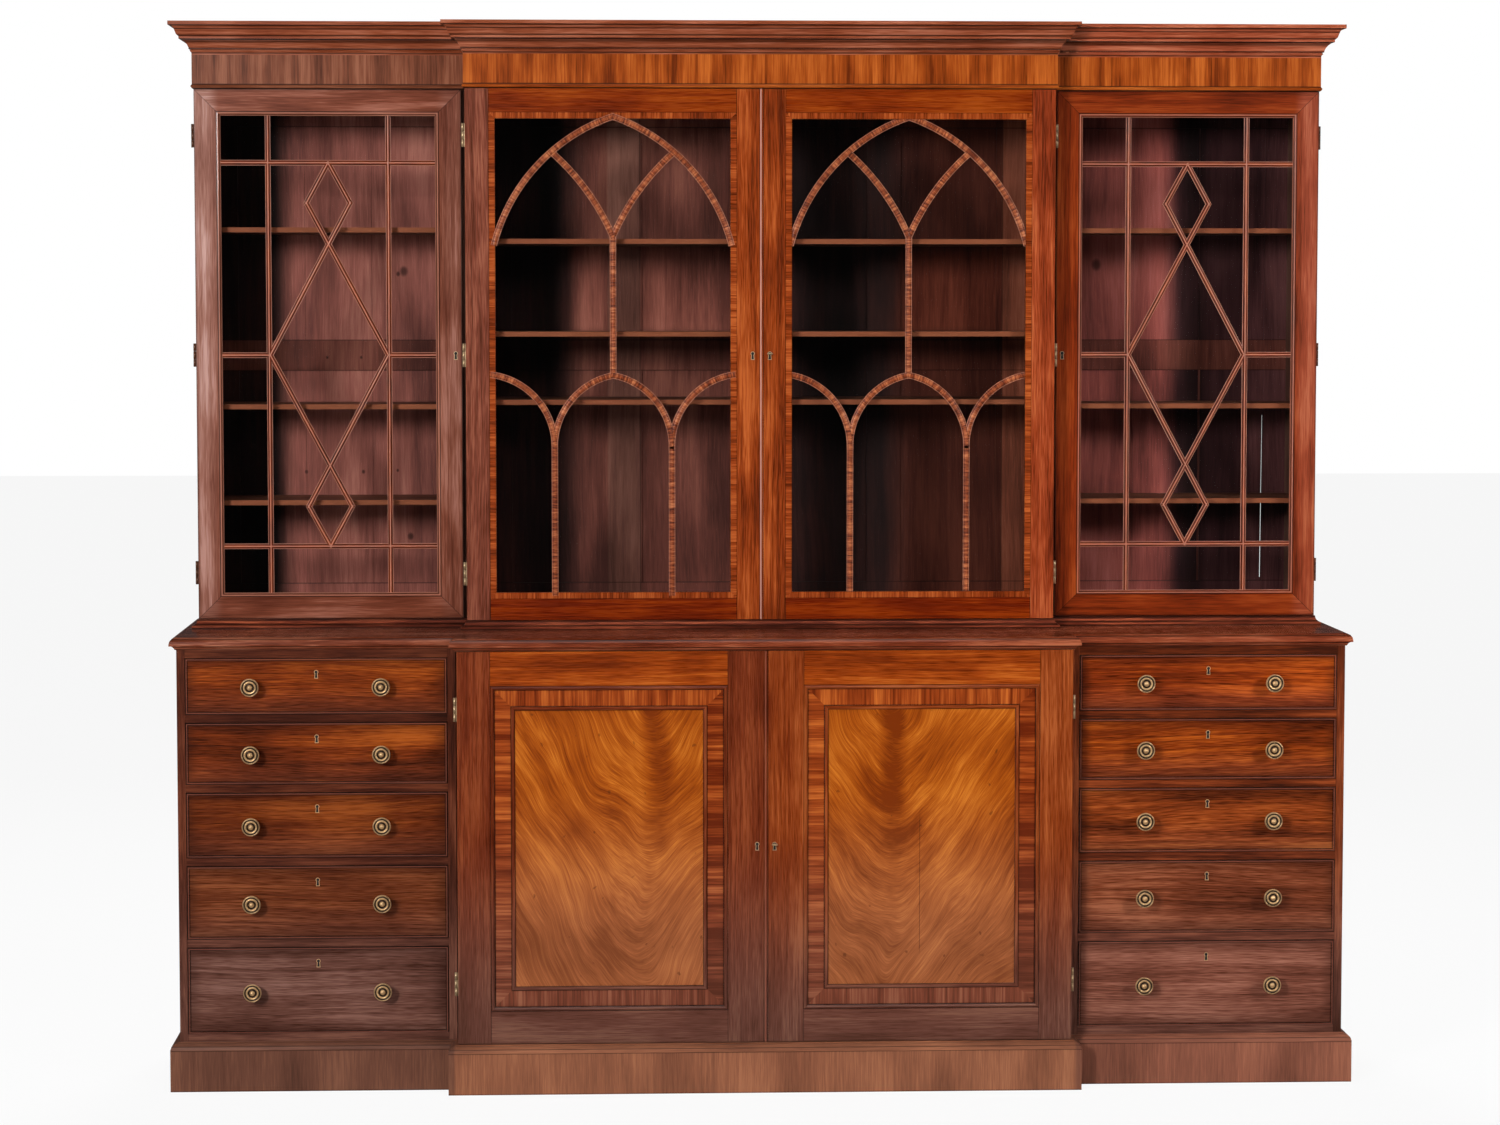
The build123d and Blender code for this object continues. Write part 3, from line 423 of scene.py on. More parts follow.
def between(start, end, soft=0.02):
    """One between two places across the width, with soft edges."""
    return lambda finish, x, y, z: (x.ease(start - soft, start + soft)
                                    * (1 - x.ease(end - soft, end + soft)))


def level_with(share, low, high):
    """A share kept between two heights, with soft edges."""
    return lambda finish, x, y, z: (share(finish, x, y, z) * z.ease(low, low + 0.03)
                                    * (1 - z.ease(high - 0.03, high)))


def rows(reading, places, reach=0.0013):
    """One at each of several places, falling to nought at reach from them."""
    line = reading.near(places[0], reach)
    for place in places[1:]:
        line = line.most(reading.near(place, reach))
    return line


def lined(share_of_line, then=None):
    """Dark lines where the reading is high, over another shade."""
    def shade(finish, colour, x, y, z):
        if then is not None:
            colour = then(finish, colour, x, y, z)
        return finish.mix(share_of_line(finish, x, y, z).held(), colour, paint(LINE))
    return shade


# Panel and operators

class BOOKCASE_PG_sizes(bpy.types.PropertyGroup):
    """Sizes of the fittings and of the glazing bars."""
    knob_radius: FloatProperty(
        name="Knob radius", description="Radius of a knob's rim", default=0.02, unit="LENGTH")
    knob_projection: FloatProperty(
        name="Knob projection", description="How far a knob stands out of its drawer", default=0.038,
        unit="LENGTH")
    knob_segments: IntProperty(
        name="Knob segments", description="Faces round a knob", default=40, min=8)
    bar_width: FloatProperty(
        name="Bar width", description="Width of the wing doors' glazing bars", default=0.012,
        unit="LENGTH")
    tracery_width: FloatProperty(
        name="Tracery width", description="Width of the centre doors' tracery", default=0.0145,
        unit="LENGTH")
    arch_radius: FloatProperty(
        name="Arch radius", description="Radius of the big pointed arch", default=0.408, unit="LENGTH")
    branch_radius: FloatProperty(
        name="Branch radius", description="Radius of the two branches under the big arch",
        default=0.52, unit="LENGTH")
    low_arch_radius: FloatProperty(
        name="Low arch radius", description="Radius of the lower row of arches", default=0.1605,
        unit="LENGTH")


class BOOKCASE_PG_colours(bpy.types.PropertyGroup):
    """Colours of the metal and glass."""
    brass: FloatVectorProperty(
        name="Brass", description="Colour of the knobs and escutcheons", subtype="COLOR", size=3,
        default=tint(222, 180, 130))
    glass: FloatVectorProperty(
        name="Glass", description="Tint of the panes", subtype="COLOR", size=3,
        default=(0.93, 0.95, 0.94))


def sizes():
    return bpy.context.scene.bookcase_sizes


def colours():
    return bpy.context.scene.bookcase_colours


def plain_mesh(name, mesh, body, node=None):
    """A finished piece with its place in its mesh, riding on a body."""
    piece = bpy.data.objects.new(name, mesh)
    bpy.context.scene.collection.objects.link(piece)
    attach(piece, body)
    if node is not None:
        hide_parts(node)
    return piece


def modelled(name, mesh, tree, values):
    """The plain mesh that a geometry node tree makes of a mesh."""
    holder = bpy.data.objects.new(name + "_holder", mesh)
    bpy.context.scene.collection.objects.link(holder)
    modifier = holder.modifiers.new("Form", "NODES")
    modifier.node_group = tree
    inputs = {item.name: item.identifier for item in tree.interface.items_tree if item.in_out == "INPUT"}
    for label, value in values.items():
        modifier[inputs[label]] = value
    bpy.context.view_layer.update()
    shown = holder.evaluated_get(bpy.context.evaluated_depsgraph_get())
    result = bpy.data.meshes.new_from_object(shown)
    result.name = name
    bpy.data.objects.remove(holder)
    return result


def points_mesh(name, places):
    """A mesh of single points."""
    mesh = bpy.data.meshes.new(name)
    mesh.from_pydata(places, [], [])
    return mesh


def finished_form(name, form, *materials):
    """A mesh made of a form, its faces turned outwards."""
    bmesh.ops.recalc_face_normals(form, faces=form.faces)
    mesh = bpy.data.meshes.new(name)
    form.to_mesh(mesh)
    form.free()
    for material in materials:
        mesh.materials.append(material)
    return mesh


def dress(material, *names):
    """Gives CAD nodes their material."""
    for name in names:
        slots = nodes[name].data.materials
        slots.clear()
        slots.append(material)


# Colours of the wood, dark, middle and light

CASE = ((60, 20, 6), (106, 44, 18), (152, 84, 48))
LEFT_ENDS = ((44, 17, 8), (82, 36, 20), (118, 62, 40))
RIGHT_ENDS = ((52, 20, 8), (100, 42, 18), (144, 72, 38))
LEFT_RAILS = ((38, 14, 6), (72, 30, 16), (108, 54, 32))
RIGHT_RAILS = ((48, 18, 7), (96, 38, 14), (142, 66, 30))
DULL_CASE = ((62, 34, 25), (96, 58, 47), (128, 84, 68))
LEFT_FRAME = ((83, 33, 15), (119, 61, 40), (159, 100, 81))
RIGHT_FRAME = ((68, 18, 2), (120, 41, 8), (153, 68, 24))
# Painted sheen: paler tones for the wing doors' outer stiles, where the light shines on them
SHEEN = ((130, 78, 62), (173, 125, 111), (212, 178, 170))
RIGHT_SHEEN = ((126, 57, 35), (168, 87, 64), (202, 133, 107))
CENTRE_FRAME = ((84, 29, 6), (135, 54, 15), (180, 91, 40))
OUTER_LEFT_STILE = ((77, 34, 19), (116, 59, 42), (153, 91, 68))
OUTER_RIGHT_STILE = ((87, 30, 11), (139, 55, 24), (181, 93, 52))
RAIL = ((84, 23, 2), (120, 41, 3), (151, 67, 13))
FOOT_RAIL = ((75, 16, 1), (106, 29, 1), (138, 51, 4))
TRACERY = ((84, 30, 12), (140, 66, 34), (190, 114, 72))
CUPBOARD = ((77, 26, 7), (107, 43, 19), (138, 68, 35))
RIGHT_CUPBOARD = ((96, 32, 6), (130, 56, 19), (164, 85, 40))
CUPBOARD_RAIL = ((96, 32, 3), (143, 58, 9), (181, 93, 29))
DULL_CUPBOARD = ((79, 46, 35), (99, 61, 50), (120, 82, 67))
BORDER = ((96, 30, 4), (144, 61, 18), (189, 100, 38))
DULL_BORDER = ((85, 44, 30), (116, 62, 44), (144, 90, 67))
FLAME = ((114, 44, 3), (159, 76, 11), (204, 118, 36))
DULL_FLAME = ((121, 64, 34), (153, 88, 51), (185, 114, 68))
FRIEZE = ((95, 34, 3), (149, 66, 16), (190, 100, 36))
DULL_FRIEZE = ((77, 36, 19), (117, 64, 41), (147, 91, 66))
CORNICE = ((92, 35, 15), (142, 72, 44), (185, 114, 87))
RIGHT_CORNICE = ((101, 38, 14), (159, 76, 48), (200, 119, 87))
DRAWER_WOODS = {
    "left": ((119, 47, 10), (113, 44, 10), (98, 39, 11), (96, 44, 21), (100, 63, 52)),
    "right": ((120, 43, 9), (120, 46, 9), (130, 56, 19), (111, 54, 31), (120, 70, 54)),
}
DULL_DRAWER = ((68, 36, 26), (102, 64, 53), (134, 92, 76))
PLINTH = ((82, 50, 38), (109, 69, 53), (137, 91, 69))
CENTRE_PLINTH = ((102, 61, 44), (140, 88, 63), (173, 113, 81))
RIGHT_PLINTH = ((95, 56, 42), (130, 79, 61), (161, 101, 77))
COUNTER = ((77, 28, 10), (119, 57, 35), (166, 102, 76))
RIGHT_COUNTER = ((80, 28, 10), (122, 54, 30), (164, 92, 62))
WAIST = ((50, 16, 6), (102, 42, 25), (163, 82, 52))
WING_BACK = ((110, 60, 54), (162, 92, 82), (199, 124, 110))
# Painted shade over the right wing's back
SHADED_RIGHT_BACK = ((33, 13, 15), (57, 27, 29), (73, 40, 41))
CENTRE_BACK = ((70, 34, 28), (110, 58, 49), (144, 83, 70))
BARE_SIDE = ((62, 36, 28), (102, 68, 56), (132, 94, 80))
PALE_STILE = ((84, 47, 39), (124, 75, 64), (156, 101, 87))
RED_STILE = ((78, 36, 24), (132, 68, 49), (164, 92, 70))
# Painted light on the middle tier of the centre's back, on its left and on its right
LIT_CENTRE = ((92, 46, 38), (146, 80, 68), (190, 112, 96))
LIT_RED = ((58, 18, 10), (108, 46, 31), (142, 68, 49))
# Painted light on the right wing's back by its end
LIT_END_BACK = ((50, 24, 26), (88, 48, 49), (112, 66, 66))
# Painted shade on a strip of the right wing's back
SHADED_STRIP_BACK = ((22, 8, 9), (36, 15, 16), (52, 24, 25))
CROSS_BOARD = ((66, 28, 20), (100, 48, 36), (128, 68, 54))
# Painted shadow on strips of the backs beside the uprights and the meeting stiles
SHADOWED_BACK = ((18, 8, 8), (36, 17, 16), (58, 28, 24))
LIT_BACK = ((112, 53, 48), (162, 80, 73), (192, 105, 97))
RED_BACK = ((42, 13, 7), (77, 32, 22), (100, 47, 34))
SHELF = ((70, 34, 22), (104, 58, 42), (136, 84, 62))
OAK = ((104, 64, 36), (156, 106, 64), (190, 144, 96))
LINE = tint(26, 9, 5)


# Carcass

PLINTH_MOULDING = 0.018
BEAD_HEIGHT = 0.009
COUNTER_END = 0.032
CENTRE_HALF = 0.68


def plinth_veneer():
    """Upright grain on the plinth's boards and level grain on its moulding."""
    board_top = spans("plinth")[2][1] - PLINTH_MOULDING

    def ways(finish, x, y, z):
        board = z < board_top
        level_along = (finish.facing()[0] > 0.5).blend(x, y)
        return board.blend(level_along, z), board.blend(z, level_along), y * 0.1

    # Painted shade in the quirks of the moulding, and a painted contact shadow along the foot where it
    # meets the floor
    def lines(finish, x, y, z):
        return rows(z, (board_top, board_top + BEAD_HEIGHT)) * 0.8 + z.near(0.0, 0.004) * 0.5
    others = ((CENTRE_PLINTH, between(-CENTRE_HALF, CENTRE_HALF, 0.004)),
              (RIGHT_PLINTH, right_of(CENTRE_HALF + 0.01)))
    return wood("plinth_veneer", PLINTH, ways, lined(lines), 0.4, 0.1, others, band=14.0, streak=140.0,
                patch=3.0, weights=(0.22, 0.28, 0.5, 0.25))


def drawer_lines(axis):
    """Painted shade in the gaps round the drawers: dark lines on the case's front along the drawers' sides
    (axis 0) or tops and feet (axis 2).
    """
    boxes = [spans(name) for name in DRAWERS]
    front = boxes[0][1][0] + COCKBEAD_STAND
    places = sorted({round(abs(place), 5) for box in boxes for place in box[axis]})

    def lines(finish, x, y, z):
        return rows(abs(x) if axis == 0 else z, places, 0.0034) * (y < front + 0.004) * 0.95
    return lined(lines)


def counter_mahogany():
    """Level grain that turns the corner on the counter's end mouldings."""
    right, (foot, head) = spans("counter_top")[0][1], spans("counter_top")[2]

    def ways(finish, x, y, z):
        end = (abs(x) > right - COUNTER_END) * (finish.facing()[0] > 0.3)
        return end.blend(x, y), end.blend(y, x), z

    # Painted shade in the quirks of the counter's moulding
    def lines(finish, x, y, z):
        return rows(z, (foot + 0.0015, foot + 0.0075, head - 0.004), 0.002) * 0.85
    return wood("counter_top", COUNTER, ways, lined(lines), 0.26, 0.3,
                ((RIGHT_COUNTER, right_of(-0.6, 0.1)),), band=24.0)


def waist_mahogany():
    """Level grain with painted shade: a dark line in each quirk of the moulding under the upper stage."""
    foot, head = spans("waist_moulding")[2]

    def lines(finish, x, y, z):
        return rows(z, (foot + 0.001, foot + BEAD_HEIGHT, head - 0.002), 0.003) * 0.9
    return wood("waist_moulding", WAIST, level, lined(lines), 0.3, 0.3, band=40.0)


class BOOKCASE_OT_carcass(bpy.types.Operator):
    """Finish the plinth, the lower case, the counter and the moulding under the upper stage"""
    bl_idname = "bookcase.carcass"
    bl_label = "Carcass"

    def execute(self, context):
        dull = (DULL_CASE, lower(0.6, 0.15))
        ends, rails = ((RIGHT_ENDS, right_of(0.0)), dull), ((RIGHT_RAILS, right_of(0.0)), dull)
        dress(plinth_veneer(), "plinth")
        dress(wood("case_ends", LEFT_ENDS, side_ways, drawer_lines(0), others=ends, streak=90.0),
              "lower_case_sides")
        dress(wood("drawer_rails", LEFT_RAILS, level, drawer_lines(2), others=rails), "drawer_rails")
        dress(wood("case_boards", LEFT_RAILS, level, others=rails), "lower_case_boards", "cupboard_shelf")
        dress(counter_mahogany(), "counter_top")
        dress(waist_mahogany(), "waist_moulding")
        dress(wood("lower_backs", CENTRE_BACK, upright, None, 0.7, 0.0), "lower_backs")
        dress(wood("runners", OAK, side_ways, None, 0.7, 0.0), "drawer_runners")
        return {"FINISHED"}


# Frieze and cornice

# Heights, as shares of the cornice's height, of its lines of painted shade and of the band of painted
# shadow in its cove
CORNICE_QUIRKS = (0.05, 0.185, 0.46, 0.57, 0.77, 0.87)
CORNICE_HOLLOW = 0.4


def frieze_veneer():
    """Upright veneer over a level bead, duller on the left wing."""
    bead_top = spans("frieze")[2][0] + BEAD_HEIGHT
    wing_face = spans("wing_door_right_frame")[1][0]

    def ways(finish, x, y, z):
        board = z > bead_top
        return board.blend(x, z), board.blend(z, x + y * 0.7), y * 0.1

    # Painted shade above and below the bead
    def lines(finish, x, y, z):
        return rows(z, (bead_top, bead_top - BEAD_HEIGHT), 0.0022) * 0.9

    def left_wing(finish, x, y, z):
        return (y > wing_face - 0.02) * (y < wing_face + 0.04) * (x < 0.0)
    return wood("frieze_veneer", FRIEZE, ways, lined(lines), 0.32, 0.15, ((DULL_FRIEZE, left_wing),),
                sway=0.01, band=42.0, streak=170.0, patch=7.0, weights=(0.65, 0.5, 0.35, 0.25))


def cornice_mahogany():
    """Level grain with painted shade: a dark line in each quirk of the cornice and a wider band of painted
    shadow in its cove.
    """
    foot, head = spans("cornice")[2]
    heights = [foot + (head - foot) * share for share in CORNICE_QUIRKS]
    hollow = foot + (head - foot) * CORNICE_HOLLOW

    def lines(finish, x, y, z):
        return rows(z, heights, 0.0026) * 0.85 + z.near(hollow, 0.006) * 0.7
    return wood("cornice_lengths", CORNICE, level, lined(lines), 0.28, 0.3,
                ((RIGHT_CORNICE, right_of(0.72)),), band=60.0, weights=(0.35, 0.5, 0.3, 0.25))


class BOOKCASE_OT_cornice(bpy.types.Operator):
    """Finish the frieze and the cornice"""
    bl_idname = "bookcase.cornice"
    bl_label = "Frieze and cornice"

    def execute(self, context):
        dress(frieze_veneer(), "frieze")
        dress(cornice_mahogany(), "cornice")
        return {"FINISHED"}


# Inside of the upper stage

BACK_RAILS = (0.060, 0.552, 0.622, 0.070)
PLANK_WIDTH = 0.15
PLANK_GAP = 0.0008
SHRUNK_GAP = 0.004
TONGUE_HALF = 0.003
WING_BAY = (0.730, 1.188)
DRAWER_BAY = (0.694, 1.264)
CUPBOARD_BAY = (-0.657, 0.657)
OPEN_JOINT, JOINT_FOOT, JOINT_HEAD = 1.1844, 1.084, 1.463
PALE_STILES = ((-0.34, -0.265), (0.5755, 0.6315))
LIT_TIER = (1.645, 1.865)
KNOTS = ((-0.809, 1.797, 0.012), (-0.822, 1.791, 0.006), (-0.797, 1.185, 0.009), (-0.986, 1.599, 0.004),
         (-0.908, 1.599, 0.004), (-1.036, 1.335, 0.005), (-0.905, 1.335, 0.005),
         (-0.826, 1.338, 0.004), (0.795, 1.813, 0.014))


def upper_side_mahogany():
    """Uprights that are polished outside and bare inside."""
    across, (front, rear), up = spans("upper_case_sides")

    def bare_inside(finish, x, y, z):
        return ((abs(x) < across[1] - 0.002) * (y > front + 0.03) * (y < rear - 0.001)
                * (z < up[1] - 0.001))
    return wood("upper_ends", CASE, side_ways, None, 0.35, 0.15, ((BARE_SIDE, bare_inside),))


def shelf_boards(name):
    """Shelves whose front edges are painted pale, a painted highlight where the light falls on them."""
    front = spans(name)[1][0]

    def lit_shelf_edge(finish, colour, x, y, z):
        # Painted highlight along the shelf's front edge
        return finish.mix((y < front + 0.002) * 0.8, colour, paint(tint(150, 80, 52)))
    return wood(name + "_boards", SHELF, level, lit_shelf_edge, 0.55, 0.1)


def back_levels():
    """Heights at which the rails of the wings' backs begin and end."""
    foot, head = spans("wing_backs")[2]
    bottom, middle_foot, middle_head, top = BACK_RAILS
    return foot + bottom, foot + middle_foot, foot + middle_head, head - top


def cross_board(finish, x, y, z):
    """The middle rail of a back."""
    levels = back_levels()
    return (z > levels[1]) * (z < levels[2]) * 0.75


def open_joint(finish, x, y, z):
    """The gap beside the right wing's end stile, wider towards its foot."""
    half = (JOINT_HEAD - z) * 0.0012 + 0.001
    middle_x = (z - JOINT_FOOT) * 0.006 + OPEN_JOINT
    return (abs(x - middle_x) < half) * (z > JOINT_FOOT) * (z < JOINT_HEAD)


# Over the wing backs: painted shade over all of the right wing's back, painted light on its left part and
# by its end, painted shade on a strip right of its middle, painted shadow on the left wing's back beside
# its end, and the middle rail's own tone
WING_BOARDS = (
    (SHADED_RIGHT_BACK, right_of(0.0, 0.2)), (LIT_BACK, between(0.7, 0.965, 0.03)),
    (SHADED_STRIP_BACK, between(1.0, 1.05, 0.02)), (LIT_END_BACK, between(1.15, 1.4, 0.03)),
    (SHADOWED_BACK, between(-1.3, -1.08, 0.03)), (CROSS_BOARD, cross_board))
# Over the centre back: a redder, darker tone on the right, painted light on the middle tier, painted shadow
# beside the meeting stiles and beside the left upright, and the two stiles' own tones
CENTRE_BOARDS = (
    (RED_BACK, right_of(0.25, 0.2)), (LIT_CENTRE, level_with(between(-0.42, 0.05), *LIT_TIER)),
    (LIT_RED, level_with(between(0.33, 0.9), *LIT_TIER)), (SHADOWED_BACK, between(-0.02, 0.33, 0.04)),
    (SHADOWED_BACK, between(-0.7, -0.42, 0.05)), (PALE_STILE, between(*PALE_STILES[0], 0.003)),
    (RED_STILE, between(*PALE_STILES[1], 0.003)))


def back_pine(name, palette, boards, gap=None):
    """Pine boards with their own tones and with strips of painted light and painted shadow, with dark
    joints and knots on the side of the shelves.
    """
    levels, rear = back_levels(), spans("wing_backs")[1][1]
    stile_edges = (PALE_STILES[0][1], PALE_STILES[1][0])

    def marks(finish, colour, x, y, z):
        dark = rows(z, levels, 0.0018) * (y < rear - 0.0079) * 0.7
        dark = dark.most(rows(x, stile_edges, 0.002) * (y < rear - 0.003) * 0.6)
        for knot_x, knot_z, size in KNOTS:
            aside, up = (x - knot_x) * (1 / size), (z - knot_z) * (0.8 / size)
            dark = dark.most((1 - (aside * aside + up * up).ease(0.0, 1.0)) * 0.75)
        return finish.mix(dark.held(), colour, paint(LINE))

    def inside(share):
        return lambda finish, x, y, z: share(finish, x, y, z) * (y < rear - 0.003)
    others = [(colour, inside(share)) for colour, share in boards]
    others.append((CENTRE_BACK, lambda finish, x, y, z: y > rear - 0.001))
    return wood(name + "_pine", palette, upright, marks, 0.6, 0.05, others, gap, sway=0.05, band=10.0,
                streak=80.0, patch=3.0, weights=(0.4, 0.4, 0.6, 0.2))


def tongue_faces(form, bay, rear, heights, last=0.0):
    """Thin tongues that close the joints between the planks of a bay, the last one wider."""
    start, end = bay
    count = round((end - start) / PLANK_WIDTH)
    pitch = (end - start + PLANK_GAP) / count
    for step in range(1, count):
        x = start + step * pitch - PLANK_GAP / 2
        wide = last if step == count - 1 else 0.0
        box_faces(form, (x - TONGUE_HALF, x + TONGUE_HALF + wide), (rear - 0.006, rear - 0.004),
                  heights)


def back_tongues():
    """The tongues of all the planked backs. The right wing's last joint is wider."""
    form = bmesh.new()
    levels, rear = back_levels(), spans("wing_backs")[1][1]
    for hand, side in HANDS:
        tongue_faces(form, handed(side, WING_BAY), rear, levels[:2], SHRUNK_GAP if side > 0 else 0.0)
        tongue_faces(form, handed(side, WING_BAY), rear, levels[2:])
    depth, heights = spans("lower_backs")[1:]
    for bay in (handed(-1, DRAWER_BAY), DRAWER_BAY, CUPBOARD_BAY):
        tongue_faces(form, bay, depth[1], heights)
    material = wood("back_tongues", CENTRE_BACK, upright, None, 0.7, 0.0)
    plain_mesh("back_tongues", finished_form("back_tongues", form, material), "case", None)


class BOOKCASE_OT_interior(bpy.types.Operator):
    """Finish the uprights, shelves and backs of the upper stage"""
    bl_idname = "bookcase.interior"
    bl_label = "Inside of the upper stage"

    def execute(self, context):
        dress(upper_side_mahogany(), "upper_case_sides")
        dress(wood("upper_boards", CASE, level, None, 0.5, 0.1), "upper_case_boards")
        for name in ("wing_shelves", "centre_shelves"):
            dress(shelf_boards(name), name)
        dress(back_pine("wing_backs", WING_BACK, WING_BOARDS, open_joint), "wing_backs")
        dress(back_pine("centre_back", CENTRE_BACK, CENTRE_BOARDS), "centre_back")
        back_tongues()
        return {"FINISHED"}


# Doors

ARCH_OPENING = ((0.0685, 0.5895), (1.080, 2.130))
CUPBOARD_OPENING = ((0.083, 0.5995), (0.1805, 0.8935))
WING_FRAME_WIDTH = 0.058
ARCH_BORDER = 0.014
BEAD_PLACES = (-0.0044, 0.0044)
BEAD_MIDDLE = -0.0006
PANEL_EDGE = 0.054

# The tracery, measured from the middle of the opening's top edge
APEX_LIFT, SPRING_DROP, BRANCH_REACH = 0.005, 0.268, 0.136
LOW_ARCH_DROP, LOW_ARCH_RISE, BRANCH_DROP = 0.567, 0.1576, 0.26

# Sections of the bars: how far under the face and how far in from the edge
BANDED_EDGE = ((0.0022, 0.0), (0.0012, 0.0003), (0.0007, 0.001), (0.0012, 0.0018),
               (0.0016, 0.0021), (0.0, 0.0024))
ASTRAGAL_EDGE = ((0.0034, 0.0), (0.0028, 0.0004), (0.0027, 0.0014), (0.0032, 0.0018),
                 (0.0022, 0.0023), (0.0009, 0.0034), (0.0002, 0.0048))
RIB_HALF, RIB_DEPTH = 0.0014, 0.005
BAR_BACK = 0.009


def clear_glass():
    """Panes that one sees through and that shine where they are seen from the side."""
    finish = Finish("clear_glass")
    through = finish.node("ShaderNodeBsdfTransparent", {}, {"Color": paint(tuple(colours().glass))})
    shine = finish.node("ShaderNodeBsdfPrincipled", {},
                        {"Base Color": paint((0.02, 0.02, 0.02)), "Roughness": 0.03})
    edge_on = Reading(finish, finish.node("ShaderNodeLayerWeight", {}, {"Blend": 0.5}).outputs["Facing"])
    return finish.mixed(edge_on ** 4.0 * 0.4 + 0.01, through, shine)


def bar_section(pattern, face, width, edge_steps, crown=()):
    """Outline of a bar with the rib behind it that parts the panes."""
    edge = width * 0.5
    steps = [(face - under, edge - inset) for under, inset in edge_steps]
    points = [(-RIB_DEPTH, -RIB_HALF), (0.0, -RIB_HALF), (0.0, -edge)]
    points += [(out, -aside) for out, aside in steps]
    points += [*crown, *reversed(steps), (0.0, edge), (0.0, RIB_HALF), (-RIB_DEPTH, RIB_HALF)]
    return pattern.section(points)


def straight(pattern, start, end):
    """A line between two places on the door."""
    made = pattern.node("GeometryNodeCurvePrimitiveLine", {},
                        {"Start": pattern.vector(start[0], 0.0, start[1]),
                         "End": pattern.vector(end[0], 0.0, end[1])})
    return made.outputs[0]


def arc(pattern, start, end, radius, before, after):
    """A curve between two places, run on by a little before its start and after its end."""
    dx, dz = end[0] - start[0], end[1] - start[1]
    chord = (dx * dx + dz * dz) ** 0.5
    reach = (radius * radius - chord * chord * 0.25) ** 0.5
    centre = (middle((start[0], end[0])) + dz / chord * reach,
              middle((start[1], end[1])) - dx / chord * reach)
    first = (start[1] - centre[1]).work("ARCTAN2", start[0] - centre[0]) + before / radius
    last = (end[1] - centre[1]).work("ARCTAN2", end[0] - centre[0]) - after / radius
    curve = pattern.node("GeometryNodeCurveArc", {"mode": "RADIUS"},
                         {"Resolution": 64, "Radius": radius, "Start Angle": first,
                          "Sweep Angle": last - first})
    moved = pattern.node("GeometryNodeTransform", {},
                         {"Geometry": curve.outputs[0],
                          "Translation": pattern.vector(centre[0], 0.0, centre[1]),
                          "Rotation": (math.pi / 2, 0.0, 0.0)})
    return moved.outputs[0]


def tracery_pattern():
    """Intersecting tracery, from the middle of the opening's top edge."""
    pattern = Pattern("gothic_tracery")
    half, tall, width = (pattern.size(name) for name in ("Half width", "Height", "Bar width"))
    arch_radius, branch_radius, low_radius = (
        pattern.size(name) for name in ("Arch radius", "Branch radius", "Low arch radius"))
    lift, spring, low, rise, branch_foot, branch_x, branch_z = (
        pattern.size(name) for name in ("Apex lift", "Spring drop", "Low arch drop", "Low arch rise",
                                        "Branch drop", "Branch reach", "Branch top drop"))
    depth = pattern.size("Bar depth")
    low_foot = -low - rise
    families = (
        (arc(pattern, (0.0, lift), (half, -spring), arch_radius, 0.004, 0.012),),
        (arc(pattern, (-branch_x, -branch_z), (0.0, -branch_foot), branch_radius, 0.004, 0.003),),
        (arc(pattern, (0.0, -low), (half * 0.5, low_foot), low_radius, 0.004, 0.006),
         arc(pattern, (-half, -low), (half * -0.5, low_foot), low_radius, 0.012, 0.006),
         straight(pattern, (half * 0.5, low_foot), (half * 0.5, -tall - 0.008))))

    def swept(curve, sink):
        return pattern.swept(curve, bar_section(pattern, depth - sink, width, BANDED_EDGE))
    parts = []
    for index, family in enumerate(families):
        sheet = pattern.join(*family)
        mirrored = pattern.node("GeometryNodeTransform", {}, {"Geometry": sheet, "Scale": (-1.0, 1.0, 1.0)})
        for hand, curve in enumerate((sheet, mirrored.outputs[0])):
            parts.append(swept(curve, 0.0001 * (2 * index + hand)))
    mullion = straight(pattern, (0.0, -branch_foot + 0.003), (0.0, -low))
    return pattern.finish(pattern.join(*parts, swept(mullion, 0.0006)))


def branch_top(half):
    """How far under the opening's top a branch meets the big arch."""
    radius = sizes().arch_radius
    chord = math.hypot(half, SPRING_DROP + APEX_LIFT)
    away = math.sqrt(radius ** 2 - chord ** 2 / 4)
    centre_x = half / 2 - (SPRING_DROP + APEX_LIFT) / chord * away
    centre_z = (APEX_LIFT - SPRING_DROP) / 2 - half / chord * away
    return -(centre_z + math.sqrt(radius ** 2 - (BRANCH_REACH - centre_x) ** 2))


